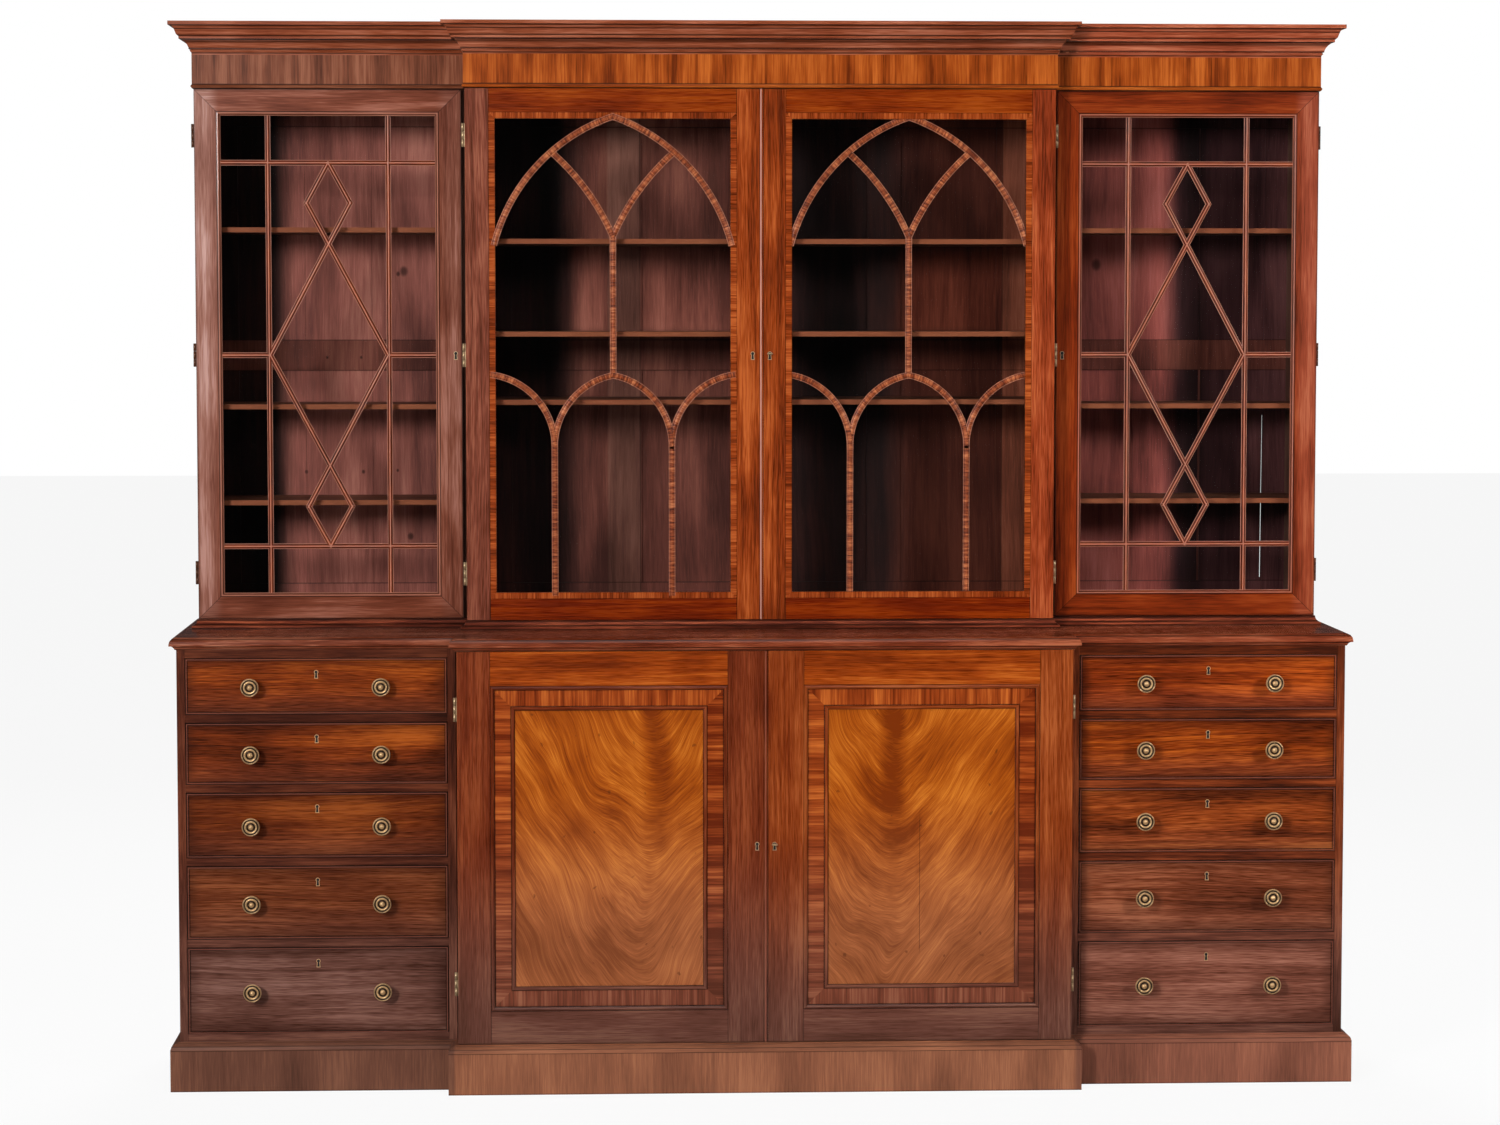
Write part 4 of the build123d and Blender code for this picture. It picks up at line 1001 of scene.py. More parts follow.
def bars_pattern():
    """Grid of glazing bars with crossed lozenges, from the middle of the opening."""
    pattern = Pattern("lozenge_bars")
    half, tall, width = (pattern.size(name) for name in ("Half width", "Half height", "Bar width"))
    column, half_wide, half_high, inset = (
        pattern.size(name) for name in ("Column width", "Lozenge half width", "Lozenge half height",
                                        "Lozenge inset"))
    depth = pattern.size("Bar depth")
    step = column + width * 0.5
    across, up = half - step, tall - step
    past_side, past_end = half + 0.006, tall + 0.006

    def slanted(start, end):
        """A line run on past both its ends by a part of the bar's width."""
        dx, dz = end[0] - start[0], end[1] - start[1]
        extra = width * 0.27 / (dx * dx + dz * dz) ** 0.5
        return straight(pattern, (start[0] - dx * extra, start[1] - dz * extra),
                        (end[0] + dx * extra, end[1] + dz * extra))

    def swept(curves, sink):
        face = depth - sink
        return pattern.swept(pattern.join(*curves),
                             bar_section(pattern, face, width, ASTRAGAL_EDGE, ((face, 0.0),)))
    uprights = [straight(pattern, (x, -past_end), (x, past_end)) for x in (across, -across)]
    levels = [straight(pattern, (-past_side, z), (past_side, z)) for z in (up, -up)]
    levels += [straight(pattern, (-past_side, 0.0), (-across, 0.0)),
               straight(pattern, (across, 0.0), (past_side, 0.0))]
    slants = []
    for side in (1.0, -1.0):
        for flip in (1.0, -1.0):
            corner = (half_wide * side, (up - half_high) * flip)
            slants.append(slanted((0.0, up * flip), corner))
            slants.append(slanted(corner, ((across - inset) * -side, 0.0)))
    return pattern.finish(pattern.join(swept(uprights, 0.0), swept(levels, 0.00015),
                                       swept(slants[:4], 0.0003), swept(slants[4:], 0.00045)))


def banded_bar(name, palette, across):
    """Veneer that follows a bar, with its grain across it or along it, painted highlights on its raised
    lines and painted shade in its grooves.
    """
    finish = Finish(name)
    x, y, z = finish.place()
    along, aside = finish.kept("along"), finish.kept("across")
    # edges are painted highlights on the bar's raised lines, grooves painted shade in its hollows
    if across:
        bands = finish.noise(finish.vector(along * 170.0, x * 3.0, z * 3.0), 3.0) * 1.7 - 0.35
        streaks = finish.noise(finish.vector(along * 520.0, aside * 90.0, x + z), 2.0)
        edges = abs(aside).near(0.0062, 0.0009) * 0.5
        grooves = abs(aside).near(0.0046, 0.0009) * 0.7
    else:
        bands = finish.noise(finish.vector(along * 6.0, aside * 60.0, z * 3.0), 2.0)
        streaks = finish.noise(finish.vector(along * 30.0, aside * 500.0, x + z), 2.0)
        edges = abs(aside).near(0.0, 0.0016).most(abs(aside).near(0.0058, 0.0014)) * 0.75
        grooves = abs(aside).near(0.0036, 0.0014) * 0.95
    tone = (bands - 0.5) * 1.3 + (streaks - 0.5) * 1.2 + 0.5
    colour = finish.mix(edges.held(), tones(finish, tone, palette), paint(tint(200, 146, 124)))
    colour = finish.mix(grooves.held(), colour, paint(LINE))
    return finish.close(colour, roughness=streaks * 0.1 + 0.34, coat_weight=0.1, coat_roughness=0.15,
                        specular_ior_level=0.15)


def meeting_bead(gleam, reach, bright, dark):
    """The bead where two doors meet: a painted highlight along it between two dark lines of painted shade.
    """
    def shade(finish, colour, x, y, z):
        edges = rows(x, BEAD_PLACES, 0.0012) * dark
        colour = finish.mix(edges.held(), colour, paint(LINE))
        return finish.mix(x.near(BEAD_MIDDLE, reach) * bright, colour, paint(gleam))
    return shade


def door_bars(door, bars, cad_bars, x, z, tree, values):
    """The bars of a glazed door in place of the CAD's, about one place in its opening."""
    mesh = modelled(f"{door}_{bars}", points_mesh("seed", [(0, 0, 0)]), tree, values)
    front = spans(door + "_frame")[1][0]
    mesh.transform(Matrix.Translation((x, front + BAR_BACK, z)))
    plain_mesh(f"{door}_{bars}", mesh, door, f"{door}_{cad_bars}")


def arch_frame(name, opening, side):
    """Stiles upright, rails level and the narrow border across its length."""
    def ways(finish, x, y, z):
        out, up = opening.past(x, z)
        border = out.most(up) < ARCH_BORDER
        stands = (out > ARCH_BORDER).most(border * (up > out))
        return stands.blend(x, z), stands.blend(z, x + (x > opening.x) * 0.3) + border * 0.7, y

    def lines(finish, x, y, z):
        out, up = opening.past(x, z)
        flat = out.most(up)
        return (flat.near(ARCH_BORDER, 0.0014) * 0.6 + flat.near(0.0, 0.0014) * 0.6
                + out.near(ARCH_BORDER, 0.0014) * (up > ARCH_BORDER) * 0.8)

    def rails(finish, x, y, z):
        out, up = opening.past(x, z)
        return (up > ARCH_BORDER) * (out < ARCH_BORDER)

    def foot_rail(finish, x, y, z):
        return rails(finish, x, y, z) * (z < opening.z)

    def outer_stile(finish, x, y, z):
        return x * side > opening.x * side + opening.half + ARCH_BORDER
    outer = OUTER_LEFT_STILE if side < 0 else OUTER_RIGHT_STILE
    bead = meeting_bead(tint(222, 164, 148), 0.0026, 0.85, 0.8)
    return wood(name, CENTRE_FRAME, ways, lined(lines, bead), 0.28, 0.15,
                ((outer, outer_stile), (RAIL, rails), (FOOT_RAIL, foot_rail)), band=34.0, shift=side * 4.0)


class BOOKCASE_OT_arch_doors(bpy.types.Operator):
    """Finish the centre doors and make their tracery"""
    bl_idname = "bookcase.arch_doors"
    bl_label = "Centre doors"

    def execute(self, context):
        tree, glass, given = tracery_pattern(), clear_glass(), sizes()
        for hand, side in HANDS:
            door = f"arch_door_{hand}"
            opening = Face(handed(side, ARCH_OPENING[0]), ARCH_OPENING[1])
            dress(arch_frame(door + "_frame", opening, side), door + "_frame")
            dress(glass, door + "_glass")
            door_bars(door, "tracery_bars", "tracery", opening.x,
                      opening.z + opening.tall, tree, {
                          "Half width": opening.half, "Height": opening.tall * 2,
                          "Bar width": given.tracery_width, "Arch radius": given.arch_radius,
                          "Branch radius": given.branch_radius, "Low arch radius": given.low_arch_radius,
                          "Bar depth": 0.0075, "Apex lift": APEX_LIFT, "Spring drop": SPRING_DROP,
                          "Low arch drop": LOW_ARCH_DROP, "Low arch rise": LOW_ARCH_RISE,
                          "Branch drop": BRANCH_DROP, "Branch reach": BRANCH_REACH,
                          "Branch top drop": branch_top(opening.half),
                          "Finish": banded_bar(f"tracery_veneer_{hand}", TRACERY, True)})
        return {"FINISHED"}


def wing_frame(name, opening, side):
    """A mitred frame with a polished ovolo round the glass, with painted highlights on the ovolo and a
    painted sheen on its outer stile.
    """
    def lines(finish, x, y, z):
        out, up = opening.past(x, z)
        flat = out.most(up)
        # Dark mitre joints, with painted shade in the quirks of the ovolo and along the outer edge at the
        # gap round the door
        rim = 1 - (WING_FRAME_WIDTH - flat).ease(0.0, 0.005)
        return ((out - up).near(0.0, 0.0016) * (flat > 0.0085) * 0.75 + flat.near(0.0085, 0.0018) * 0.9
                + flat.near(0.0026, 0.0016) * 0.8 + rim * 0.6)

    # Painted highlights along the ovolo's two edges
    def ovolo_shine(finish, colour, x, y, z):
        out, up = opening.past(x, z)
        flat = out.most(up)
        shine = flat.near(0.0006, 0.0014).most(flat.near(0.0056, 0.002)) * 0.6
        return finish.mix(shine.held(), colour, paint(tint(190, 130, 108)))

    # Painted sheen: a share of paler tones on the outer stile, a little on the left door's inner stile,
    # stronger towards the top
    def sheen(finish, x, y, z):
        outward = x * side - opening.x * side
        share = outward.ease(opening.half, opening.half + 0.03) * (0.6 if side < 0 else 0.45)
        if side < 0:
            share = share + (1 - outward.ease(-opening.half - 0.03, -opening.half)) * 0.15
        return share * (z.ease(1.1, 1.9) * 0.5 + 0.5)
    palette, shining = (LEFT_FRAME, SHEEN) if side < 0 else (RIGHT_FRAME, RIGHT_SHEEN)
    return wood(name, palette, mitred(opening), lined(lines, ovolo_shine), 0.32, 0.1, ((shining, sheen),),
                band=34.0, weights=(0.35, 0.55, 0.5, 0.3), shift=side * 7.0)


class BOOKCASE_OT_wing_doors(bpy.types.Operator):
    """Finish the wing doors and make their glazing bars"""
    bl_idname = "bookcase.wing_doors"
    bl_label = "Wing doors"

    def execute(self, context):
        tree, glass = bars_pattern(), clear_glass()
        for hand, side in HANDS:
            door = f"wing_door_{hand}"
            (left, right), (foot, head) = spans(door + "_frame")[::2]
            opening = Face((left + WING_FRAME_WIDTH, right - WING_FRAME_WIDTH),
                           (foot + WING_FRAME_WIDTH, head - WING_FRAME_WIDTH))
            dress(wing_frame(door + "_frame", opening, side), door + "_frame")
            dress(glass, door + "_glass")
            door_bars(door, "glazing_bars", "bars", opening.x, opening.z, tree, {
                "Half width": opening.half, "Half height": opening.tall, "Bar width": sizes().bar_width,
                "Column width": 0.098, "Lozenge half width": 0.0485, "Lozenge half height": 0.089,
                "Lozenge inset": 0.002, "Bar depth": 0.006,
                "Finish": banded_bar(f"bars_{hand}", RIGHT_FRAME, False)})
        return {"FINISHED"}


def cupboard_frame(name, opening, side):
    """Stiles upright and rails level, with dark lines at the beads round the panel."""
    def ways(finish, x, y, z):
        out, up = opening.past(x, z)
        stands = (out.most(up) > 0.0).blend(out > up, out > 0.0)
        return stands.blend(x, z), stands.blend(z, x + (x > opening.x) * 0.31 + 1.7), y

    def lines(finish, x, y, z):
        out, up = opening.past(x, z)
        flat = out.most(up)
        beads = flat.near(0.0, 0.0013).most(flat.near(-0.009, 0.0016)).most(flat.near(-0.045, 0.0022))
        return (beads.most(flat.near(-PANEL_EDGE, 0.0024)) * 0.9
                + out.near(0.0, 0.0012) * (up > 0.0) * 0.7)

    def head_rail(finish, x, y, z):
        return (z > opening.z + opening.tall) * (abs(x - opening.x) < opening.half)
    bead = meeting_bead(tint(170, 100, 80), 0.0022, 0.5, 0.85)
    return wood(name, CUPBOARD if side < 0 else RIGHT_CUPBOARD, ways, lined(lines, bead), 0.28, 0.12,
                ((CUPBOARD_RAIL, head_rail), (DULL_CUPBOARD, lower(0.6, 0.1))), band=26.0,
                shift=side * 5.0)


def flame_figure(finish, x, z, opening, side):
    """Flame veneer whose figure rises on both sides of a spine, with a crack in the right panel."""
    width, height = opening.half - PANEL_EDGE, opening.tall - PANEL_EDGE
    spine = opening.x + width * (0.46 if side < 0 else -0.36)
    bend = finish.noise(finish.vector(x * 1.5 + side, z * 2.2, 0.0), 1.0)
    aside = x - spine + (bend - 0.5) * 0.12
    rise = (z - (opening.z - height)) * (1 / (2 * height))
    spread = (aside * aside + 0.0016) ** 0.5
    swirl = finish.noise(finish.vector(x * 4.0, z * 3.2, side * 3.0), 1.0, 0.5, 0.4)
    warp = finish.noise(finish.vector(x * 12.0, z * 7.0, side * 5.0), 1.0)
    climb = z - spread * 1.5 + (swirl - 0.5) * 0.2 + (warp - 0.5) * 0.035
    clouds = finish.noise(finish.vector(x * 6.0, z * 5.0, side * 9.0), 2.0)
    broad = finish.noise(finish.vector(climb * 16.0, aside * 5.0, side), 2.0)
    streaks = finish.noise(finish.vector(climb * 90.0, aside * 9.0, side), 4.0, 0.7)
    fine = finish.noise(finish.vector(climb * 420.0, aside * 40.0, side), 2.0)
    figure = ((broad - 0.5) * 0.7 + (streaks - 0.5) * 0.9 + (fine - 0.5) * 0.7
              + (clouds - 0.5)) * 1.3 + 0.46
    plume = (1 - abs(aside).ease(0.004, 0.042)) * rise.ease(0.35, 0.95) * (streaks * 1.6 + 0.1)
    figure = figure - plume * 0.5
    colour = finish.mix(1 - rise.ease(0.1, 0.75), tones(finish, figure, FLAME),
                        tones(finish, figure, DULL_FLAME))
    specks = finish.noise(finish.vector(x * 60.0, z * 45.0, side), 1.0)
    colour = finish.mix(specks.ease(0.72, 0.78) * 0.5, colour, paint(tint(74, 34, 14)))
    if side > 0:
        crack = (x.near(opening.x - width * 0.02, 0.0011) * rise.ease(0.1, 0.14)
                 * (1 - rise.ease(0.58, 0.64)))
        colour = finish.mix((crack * 0.75).held(), colour, paint(LINE))
    return colour


def flame_panel(name, opening, side):
    """A crossbanded border round a panel of flame veneer."""
    finish = Finish(name)
    x, y, z = finish.place()
    out, up = opening.past(x, z)
    stands = out > up
    tone, fibres = grain(finish, stands.blend(z, x), stands.blend(x, z) + stands * 2.3, y, 0.004,
                         60.0, 190.0, 6.0, (0.6, 0.7, 0.3, 0.2), shift=side * 3.0)
    tone = tone - stands * (x > opening.x) * 0.22
    border = finish.mix(1 - z.ease(0.16, 0.7), tones(finish, tone, BORDER),
                        tones(finish, tone, DULL_BORDER))
    colour = finish.mix(out.most(up) > -0.0495, flame_figure(finish, x, z, opening, side), border)
    beads = rows(out.most(up), (-0.009, -0.045), 0.002) * 0.85
    colour = finish.mix(beads.held(), colour, paint(LINE))
    return finish.close(colour, roughness=fibres * 0.1 + 0.26, coat_weight=0.12, coat_roughness=0.12,
                        specular_ior_level=0.1)


class BOOKCASE_OT_cupboard_doors(bpy.types.Operator):
    """Finish the cupboard doors, their beads and their flame panels"""
    bl_idname = "bookcase.cupboard_doors"
    bl_label = "Cupboard doors"

    def execute(self, context):
        for hand, side in HANDS:
            opening = Face(handed(side, CUPBOARD_OPENING[0]), CUPBOARD_OPENING[1])
            door = f"cupboard_door_{hand}"
            dress(cupboard_frame(door + "_frame", opening, side), door + "_frame")
            dress(flame_panel(door + "_panel", opening, side), door + "_panel")
        return {"FINISHED"}


# Drawers

DRAWER_RICHNESS = (1.0, 1.0, 0.9, 0.6, 0.2)
BEAD_WIDTH = 0.003
FRONT_THICKNESS = 0.0222


def drawer_mahogany(name):
    """Level grain in a cockbead, darker towards it, and oak behind the front."""
    hand, row = name.split("_")[1:]
    row = int(row) - 1
    rich = DRAWER_RICHNESS[row]
    across, depth, up = spans(name)
    front = Face(across, up)

    def shade(finish, colour, x, y, z):
        out, rise = front.past(x, z)
        inward = (-out).least(-rise)
        colour = finish.mix((1 - inward.ease(BEAD_WIDTH, 0.035)) * 0.4, colour, paint(tint(44, 15, 6)))
        colour = finish.mix((inward < BEAD_WIDTH) * 0.6, colour, paint(tint(126, 74, 60)))
        # Painted shade: a black line in the gap round the front and a thinner one in the quirk inside the
        # cockbead
        lines = inward.near(0.0, 0.0012).most(inward.near(0.0042, 0.002) * 0.8)
        colour = finish.mix(lines.held(), colour, paint(LINE))
        tone = grain(finish, y, z, x)[0]
        return finish.mix(y > depth[0] + FRONT_THICKNESS, colour, tones(finish, tone, OAK))

    def fall(finish, x, y, z):
        return (front.z - z) * (0.5 / front.tall) * (1.0 - rich * 0.5)
    return wood(name + "_mahogany", around(*DRAWER_WOODS[hand][row], rich), level, shade, 0.28, 0.15,
                ((DULL_DRAWER, fall),), sway=0.06, band=24.0, streak=150.0, patch=3.0,
                weights=(0.35, 0.6, 0.5, 0.4), shift=row * 3.7 + len(hand) * 5.0, run=2.6)


class BOOKCASE_OT_drawers(bpy.types.Operator):
    """Finish the drawers' fronts and their boxes"""
    bl_idname = "bookcase.drawers"
    bl_label = "Drawers"

    def execute(self, context):
        for name in DRAWERS:
            dress(drawer_mahogany(name), name)
        return {"FINISHED"}


# Brass

# A knob's section, as shares of its radius and of its length, and how much dirt lies there
KNOB_TURNING = (
    (0.0, 0.0, 0.6), (0.58, 0.0, 0.6), (0.62, 0.03, 0.2), (0.58, 0.07, 0.3), (0.42, 0.1, 0.7),
    (0.31, 0.18, 0.6), (0.28, 0.36, 0.4), (0.34, 0.52, 0.5), (0.6, 0.64, 0.6), (0.88, 0.71, 0.6),
    (0.975, 0.76, 0.4), (1.0, 0.82, 0.2), (0.985, 0.88, 0.15), (0.94, 0.915, 0.2), (0.87, 0.92, 0.45),
    (0.82, 0.875, 1.0), (0.77, 0.865, 1.0), (0.72, 0.89, 0.7), (0.67, 0.93, 0.1), (0.61, 0.94, 0.0),
    (0.56, 0.925, 0.05), (0.51, 0.9, 0.3), (0.46, 0.87, 0.9), (0.42, 0.865, 1.0), (0.37, 0.87, 1.0),
    (0.31, 0.89, 0.8), (0.28, 0.92, 0.3), (0.25, 0.94, 0.0), (0.23, 0.955, 0.0), (0.18, 0.975, 0.0),
    (0.1, 0.995, 0.0), (0.0, 1.0, 0.0))
KNOB_ASIDE = 0.142
COCKBEAD_STAND = 0.0025
DRAWER_KEYHOLE_DROP, DRAWER_LOCK_DROP = 0.034, 0.012
LOCK_HALF, LOCK_DEPTH = 0.02, 0.009
DRAWER_LOCK_BACK, DRAWER_LOCK_HEIGHT = 0.02, 0.046
DOOR_LOCK_BACK, DOOR_LOCK_HALF_HEIGHT = 0.022, 0.025
KEYHOLE_RISE, KEYHOLE_LIP, KEYHOLE_STAND = 0.0042, 0.0013, 0.0008
HINGE_HALF, LEAF_WIDTH, LEAF_THICKNESS = 0.026, 0.0155, 0.0012
PIN_OUT, PIN_BACK, PIN_RADIUS = 0.0038, 0.0233, 0.0013
KNUCKLE_RADIUS, KNUCKLE_GAP = 0.0032, 0.0004
DOOR_LEAF_BACK, CASE_LEAF_BACK = 0.022, 0.0246

# Kind of door, x of the case at its hinges, how far the end hinges are from its ends, number of
# hinges, x of its keyhole, x of its lock, height of both, how far its face is behind its bead
DOORS = (("wing_door", 1.258, 0.102, 3, 0.680, 0.6960, 1.607, 0.0),
         ("arch_door", 0.657, 0.102, 3, 0.019, 0.0253, 1.607, 0.0),
         ("cupboard_door", 0.673, 0.128, 2, 0.019, 0.0253, 0.541, 0.002))


def aged_brass(name, bright, metallic):
    """Brass, rubbed bright where it stands out and dark in its rings."""
    finish = Finish(name)
    x, y, z = finish.place()
    cloud = finish.noise(finish.vector(x * 420.0, y * 420.0, z * 420.0), 2.0)
    dirt = finish.kept("hollow") * 1.1 + (cloud - 0.5) + 0.08
    colour = finish.mix(dirt.held(), paint(bright), paint(tint(44, 28, 14)))
    return finish.close(colour, metallic=metallic, roughness=cloud * 0.2 + 0.26, height=cloud, strength=0.1)


def dark_hole():
    """A painted shadow for the inside of a keyhole."""
    finish = Finish("keyhole_shadow")
    x, y, z = finish.place()
    dust = finish.noise(finish.vector(x * 900.0, y * 900.0, z * 900.0), 2.0)
    return finish.close(finish.ramp(dust, (0.3, tint(8, 6, 5)), (0.8, tint(20, 15, 12))),
                        roughness=dust * 0.3 + 0.6)


def knob_pattern():
    """Knobs turned from one section, one at each point."""
    pattern = Pattern("turned_knobs")
    radius, length = pattern.size("Knob radius"), pattern.size("Knob projection")
    segments = pattern.size("Segments", "NodeSocketInt")
    count = len(KNOB_TURNING)
    sheet = pattern.node("GeometryNodeMeshGrid", {}, {"Vertices X": segments + 1, "Vertices Y": count})
    index = Reading(pattern, pattern.node("GeometryNodeInputIndex").outputs[0])
    column = (index / count).work("FLOOR")
    angle = column / segments * (2 * math.pi)
    turning = pattern.picked(index - column * count, KNOB_TURNING)
    parts = pattern.node("ShaderNodeSeparateXYZ", {}, {0: turning})
    share, out, hollow = [Reading(pattern, socket) for socket in parts.outputs]
    stored = pattern.stored(sheet.outputs[0], "hollow", hollow)
    place = pattern.vector(angle.work("COSINE") * share * radius, out * length * -1.0,
                           angle.work("SINE") * share * radius)
    turned = pattern.node("GeometryNodeSetPosition", {}, {"Geometry": stored, "Position": place})
    sealed = pattern.node("GeometryNodeMergeByDistance", {},
                          {"Geometry": turned.outputs[0], "Distance": 0.00001})
    smooth = pattern.node("GeometryNodeSetShadeSmooth", {},
                          {"Geometry": sealed.outputs[0], "Shade Smooth": True})
    set_out = pattern.node("GeometryNodeInstanceOnPoints", {},
                           {"Points": pattern.entry.outputs["Geometry"], "Instance": smooth.outputs[0]})
    return pattern.finish(set_out.outputs[0])


def circle(radius, sides=20, squash=1.0):
    """Points round a circle, flattened in their second measure."""
    turns = [2 * math.pi * step / sides for step in range(sides)]
    return [(radius * math.cos(turn), radius * squash * math.sin(turn)) for turn in turns]


def level_ring(form, x, y, z, points):
    """Corners of a level outline about a place."""
    return [form.verts.new((x + out, y + back, z)) for out, back in points]


def upright_ring(form, x, y, z, points):
    """Corners of an outline that stands across the depth, about a place."""
    return [form.verts.new((x + out, y, z + up)) for out, up in points]


def wall_faces(form, one, two, smooth=True):
    """Faces between two rings of points."""
    for step in range(len(one)):
        after = (step + 1) % len(one)
        form.faces.new((one[step], one[after], two[after], two[step])).smooth = smooth


def box_faces(form, x, y, z):
    """Six faces of a block between pairs of x, y and z."""
    corners = [form.verts.new((a, b, c)) for a in sorted(x) for b in sorted(y) for c in sorted(z)]
    for face in ((0, 1, 3, 2), (4, 6, 7, 5), (0, 4, 5, 1), (2, 3, 7, 6), (0, 2, 6, 4), (1, 5, 7, 3)):
        form.faces.new([corners[index] for index in face])


def rod_faces(form, x, y, z, radius, sides=20):
    """An upright rod about x and y."""
    foot, head = (level_ring(form, x, y, height, circle(radius, sides)) for height in z)
    form.faces.new(list(reversed(foot)))
    form.faces.new(head)
    wall_faces(form, foot, head)


def keyhole_outline(grow):
    """Points round a keyhole, a round head over a slot that widens downwards."""
    head, neck, foot, low = 0.0034 + grow, 0.0018 + grow, 0.0028 + grow, -0.0084 - grow
    start = -math.acos(min(0.95, neck / head)) * 0.9
    shoulder = KEYHOLE_RISE + head * math.sin(start)
    turns = [start + (math.pi - 2 * start) * step / 12 for step in range(1, 12)]
    return [(foot, low), (neck, shoulder),
            *((head * math.cos(turn), KEYHOLE_RISE + head * math.sin(turn)) for turn in turns),
            (-neck, shoulder), (-foot, low)]


def escutcheon_faces(form, x, front, z):
    """A keyhole lined with a thin brass edge, and a dark sheet of painted shadow in its hole."""
    inner, outer = keyhole_outline(0.0), keyhole_outline(KEYHOLE_LIP)
    steps = ((outer, 0.0), (outer, KEYHOLE_STAND), (inner, KEYHOLE_STAND), (inner, 0.0002))
    rings = [upright_ring(form, x, front - out, z, points) for points, out in steps]
    for one, two in zip(rings, rings[1:]):
        wall_faces(form, one, two, False)
    form.faces.new(rings[-1]).material_index = 1


def key_faces(form, x, front, z):
    """A key in its lock, its round bow turned level."""
    high = z + KEYHOLE_RISE
    shank = [upright_ring(form, x, y, high, circle(0.0016)) for y in (front - 0.006, front + 0.002)]
    wall_faces(form, *shank)
    bow = [level_ring(form, x, front - 0.0112, height, circle(0.0065, squash=0.85))
           for height in (high - 0.0012, high + 0.0012)]
    form.faces.new(bow[0])
    form.faces.new(bow[1])
    wall_faces(form, *bow)


def hinge_faces(form, side, case_x, front, z, leaf):
    """One leaf of a butt hinge, the door's or the case's, with its knuckles."""
    low, high, third = z - HINGE_HALF, z + HINGE_HALF, HINGE_HALF * 2 / 3
    pin_x, pin_y = case_x + PIN_OUT, front + PIN_BACK

    def part(start, end, back, heights):
        box_faces(form, (side * start, side * end), (back, back + LEAF_THICKNESS), heights)
    if leaf == "door":
        back, knuckles = front + DOOR_LEAF_BACK, ((low + third, high - third),)
    else:
        back = front + CASE_LEAF_BACK - LEAF_THICKNESS
        knuckles = ((low, low + third - KNUCKLE_GAP), (high - third + KNUCKLE_GAP, high))
    part(case_x - LEAF_WIDTH, case_x, back, (low, high))
    for heights in knuckles:
        part(case_x, pin_x, back, heights)
        rod_faces(form, side * pin_x, pin_y, heights, KNUCKLE_RADIUS)
    if leaf == "case":
        rod_faces(form, side * pin_x, pin_y, (low, high), PIN_RADIUS, 12)


class BOOKCASE_OT_drawer_brass(bpy.types.Operator):
    """Make the drawers' knobs, escutcheons and locks"""
    bl_idname = "bookcase.drawer_brass"
    bl_label = "Drawer brass"

    def execute(self, context):
        tree, given = knob_pattern(), sizes()
        brass, hole = aged_brass("knob_brass", tuple(colours().brass), 0.6), dark_hole()
        for name in DRAWERS:
            across, depth, up = spans(name)
            x, front, top = middle(across), depth[0] + COCKBEAD_STAND, up[1]
            places = [(x + side * KNOB_ASIDE, front, middle(up)) for side in (-1, 1)]
            mesh = modelled(name + "_knobs", points_mesh("places", places), tree, {
                "Knob radius": given.knob_radius, "Knob projection": given.knob_projection,
                "Segments": given.knob_segments, "Finish": brass})
            plain_mesh(name + "_knobs", mesh, name, name + "_brass")
            form = bmesh.new()
            escutcheon_faces(form, x, front, top - DRAWER_KEYHOLE_DROP)
            high, back = top - DRAWER_LOCK_DROP, front + DRAWER_LOCK_BACK
            box_faces(form, (x - LOCK_HALF, x + LOCK_HALF), (back, back + LOCK_DEPTH),
                      (high - DRAWER_LOCK_HEIGHT, high))
            plain_mesh(name + "_lock", finished_form(name + "_lock", form, brass, hole), name, None)
        return {"FINISHED"}


class BOOKCASE_OT_door_brass(bpy.types.Operator):
    """Make the doors' hinges, escutcheons, locks and keys"""
    bl_idname = "bookcase.door_brass"
    bl_label = "Door brass"

    def execute(self, context):
        brass, hole = aged_brass("hinge_brass", tint(206, 178, 138), 0.6), dark_hole()
        dark_brass = aged_brass("dark_hinge_brass", tint(96, 58, 38), 0.3)
        case_form, wing_form = bmesh.new(), bmesh.new()
        for kind, case_x, inset, count, key_x, lock_x, key_z, behind in DOORS:
            wing, front = kind == "wing_door", spans(f"{kind}_right_frame")[1][0] + behind
            for hand, side in HANDS:
                name = f"{kind}_{hand}"
                foot, head = spans(name + "_frame")[2]
                form = bmesh.new()
                for step in range(count):
                    z = foot + inset + (head - foot - 2 * inset) * step / (count - 1)
                    hinge_faces(form, side, case_x, front, z, "door")
                    hinge_faces(wing_form if wing else case_form, side, case_x, front, z, "case")
                for face in form.faces:
                    face.material_index = 2 if wing else 0
                escutcheon_faces(form, side * key_x, front, key_z)
                if side > 0 and not wing:
                    key_faces(form, side * key_x, front, key_z)
                back = front + DOOR_LOCK_BACK
                box_faces(form, (side * (lock_x - LOCK_HALF), side * (lock_x + LOCK_HALF)),
                          (back, back + LOCK_DEPTH),
                          (key_z - DOOR_LOCK_HALF_HEIGHT, key_z + DOOR_LOCK_HALF_HEIGHT))
                plain_mesh(name + "_fittings",
                           finished_form(name + "_fittings", form, brass, hole, dark_brass),
                           name, name + "_brass")
        leaves = plain_mesh("case_hinge_leaves", finished_form("case_hinge_leaves", case_form, brass),
                            "case", None)
        plain_mesh("wing_hinge_leaves", finished_form("wing_hinge_leaves", wing_form, dark_brass),
                   "case", None)
        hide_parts("hinge_leaves")
        return {"FINISHED"}


# Stage

CAMERA_PLACE = (-0.3737, -8.1957, 1.7057)
CAMERA_YAW, CAMERA_PITCH = 0.0428, 0.06862
CAMERA_LENS, CAMERA_FILM = 87.816, 36.0

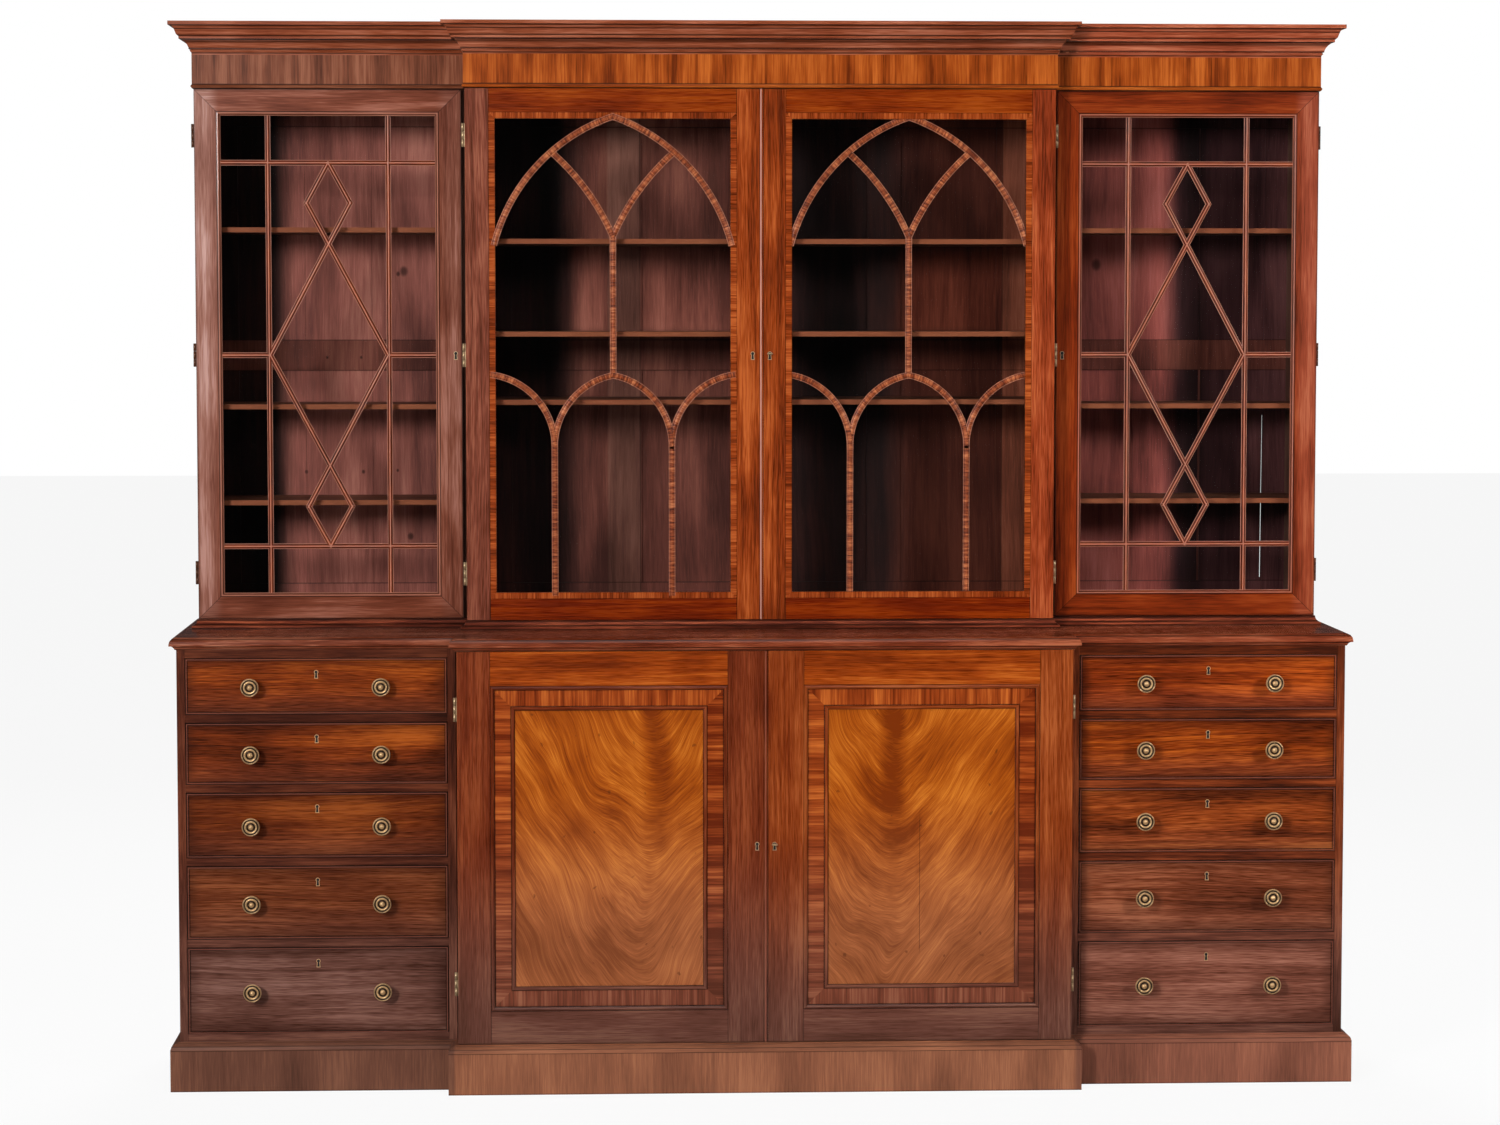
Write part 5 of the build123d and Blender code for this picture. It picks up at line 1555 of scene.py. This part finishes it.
# Name, place, place that it shines at, size, power, spread in degrees, seen in polished wood
LAMPS = (("key", (-3.6, -6.6, 2.9), (0.0, 0.0, 1.3), 1.5, 400.0, 180.0, True),
         ("fill", (4.9, -5.4, 3.3), (1.35, 0.0, 1.2), 1.5, 16.0, 38.0, True),
         ("top", (0.0, -3.0, 6.0), (0.0, 0.0, 0.0), 3.0, 50.0, 180.0, True),
         ("rear", (0.0, 4.5, 5.5), (0.0, 0.3, 1.0), 2.0, 90.0, 110.0, False))


def held_at(label, thing, place, way):
    """A lamp or camera in its place, looking one way."""
    holder = bpy.data.objects.new(label, thing)
    bpy.context.scene.collection.objects.link(holder)
    holder.location = place
    holder.rotation_euler = way.to_track_quat("-Z", "Y").to_euler()
    return holder


def pale_floor():
    """A floor that glows white to the camera and is matt to the lamps."""
    finish = Finish("pale_floor")
    x, y, z = finish.place()
    dust = finish.noise(finish.vector(x * 3.0, y * 3.0, 0.0), 2.0)
    shade = finish.ramp(dust, (0.0, (0.86, 0.86, 0.86)), (1.0, (0.9, 0.9, 0.9)))
    matt = finish.node("ShaderNodeBsdfDiffuse", {}, {"Color": shade})
    glow = finish.node("ShaderNodeEmission", {}, {"Color": (1.0, 1.0, 1.0, 1.0)})
    watched = Reading(finish, finish.node("ShaderNodeLightPath").outputs["Is Camera Ray"])
    return finish.mixed(watched * 0.92, matt, glow)


def studio_world():
    """White for the camera and nearly dark for the bookcase."""
    world = bpy.data.worlds.new("studio")
    world.use_nodes = True
    room = Bench(world.node_tree)
    room.tree.nodes.clear()
    seen = room.node("ShaderNodeLightPath")
    dim = room.node("ShaderNodeBackground", {}, {"Color": (0.95, 0.96, 1.0, 1.0), "Strength": 0.05})
    white = room.node("ShaderNodeBackground", {}, {"Color": (1.0, 1.0, 1.0, 1.0), "Strength": 1.0})
    both = room.node("ShaderNodeMixShader", {},
                     {0: seen.outputs["Is Camera Ray"], 1: dim.outputs[0], 2: white.outputs[0]})
    room.node("ShaderNodeOutputWorld", {}, {0: both.outputs[0]})
    return world


class BOOKCASE_OT_stage(bpy.types.Operator):
    """Set out the floor, the light and the camera"""
    bl_idname = "bookcase.stage"
    bl_label = "Stage"

    def execute(self, context):
        scene = bpy.context.scene
        bpy.ops.mesh.primitive_plane_add(size=60.0, location=(0.0, 0.0, -0.0005))
        floor = bpy.context.object
        floor.name = "studio_floor"
        floor.data.materials.append(pale_floor())
        floor.visible_glossy = False
        scene.world = studio_world()
        for label, place, aim, size, power, spread, shines in LAMPS:
            lamp = bpy.data.lights.new(label, "AREA")
            lamp.shape, lamp.size, lamp.energy, lamp.spread = "DISK", size, power, math.radians(spread)
            held_at(label, lamp, place, Vector(aim) - Vector(place)).visible_glossy = shines
        scene.view_settings.view_transform = "Standard"
        camera = bpy.data.cameras.new("camera")
        camera.sensor_width, camera.lens, camera.clip_end = CAMERA_FILM, CAMERA_LENS, 100.0
        forward = Vector((math.sin(CAMERA_YAW) * math.cos(CAMERA_PITCH),
                          math.cos(CAMERA_YAW) * math.cos(CAMERA_PITCH), -math.sin(CAMERA_PITCH)))
        scene.camera = held_at("camera", camera, CAMERA_PLACE, forward)
        return {"FINISHED"}


class BOOKCASE_PT_panel(bpy.types.Panel):
    """Lists the pieces of the bookcase"""
    bl_label = "Breakfront Bookcase"
    bl_space_type = "VIEW_3D"
    bl_region_type = "UI"
    bl_category = "Bookcase"

    def draw(self, context):
        for group in (context.scene.bookcase_sizes, context.scene.bookcase_colours):
            for name in group.__annotations__:
                self.layout.prop(group, name)
        for piece in PIECES:
            self.layout.operator(piece.bl_idname)


PIECES = (BOOKCASE_OT_carcass, BOOKCASE_OT_cornice, BOOKCASE_OT_interior, BOOKCASE_OT_wing_doors,
          BOOKCASE_OT_arch_doors, BOOKCASE_OT_cupboard_doors, BOOKCASE_OT_drawers, BOOKCASE_OT_drawer_brass,
          BOOKCASE_OT_door_brass, BOOKCASE_OT_stage)
CLASSES = (BOOKCASE_PG_sizes, BOOKCASE_PG_colours, *PIECES, BOOKCASE_PT_panel)


def register():
    for entry in CLASSES:
        bpy.utils.register_class(entry)
    bpy.types.Scene.bookcase_sizes = PointerProperty(type=BOOKCASE_PG_sizes)
    bpy.types.Scene.bookcase_colours = PointerProperty(type=BOOKCASE_PG_colours)


def unregister():
    del bpy.types.Scene.bookcase_colours
    del bpy.types.Scene.bookcase_sizes
    for entry in reversed(CLASSES):
        bpy.utils.unregister_class(entry)


def main():
    register()
    bpy.ops.bookcase.carcass()
    bpy.ops.bookcase.cornice()
    bpy.ops.bookcase.interior()
    bpy.ops.bookcase.wing_doors()
    bpy.ops.bookcase.arch_doors()
    bpy.ops.bookcase.cupboard_doors()
    bpy.ops.bookcase.drawers()
    bpy.ops.bookcase.drawer_brass()
    bpy.ops.bookcase.door_brass()
    bpy.ops.bookcase.stage()


if __name__ == "__main__":
    main()
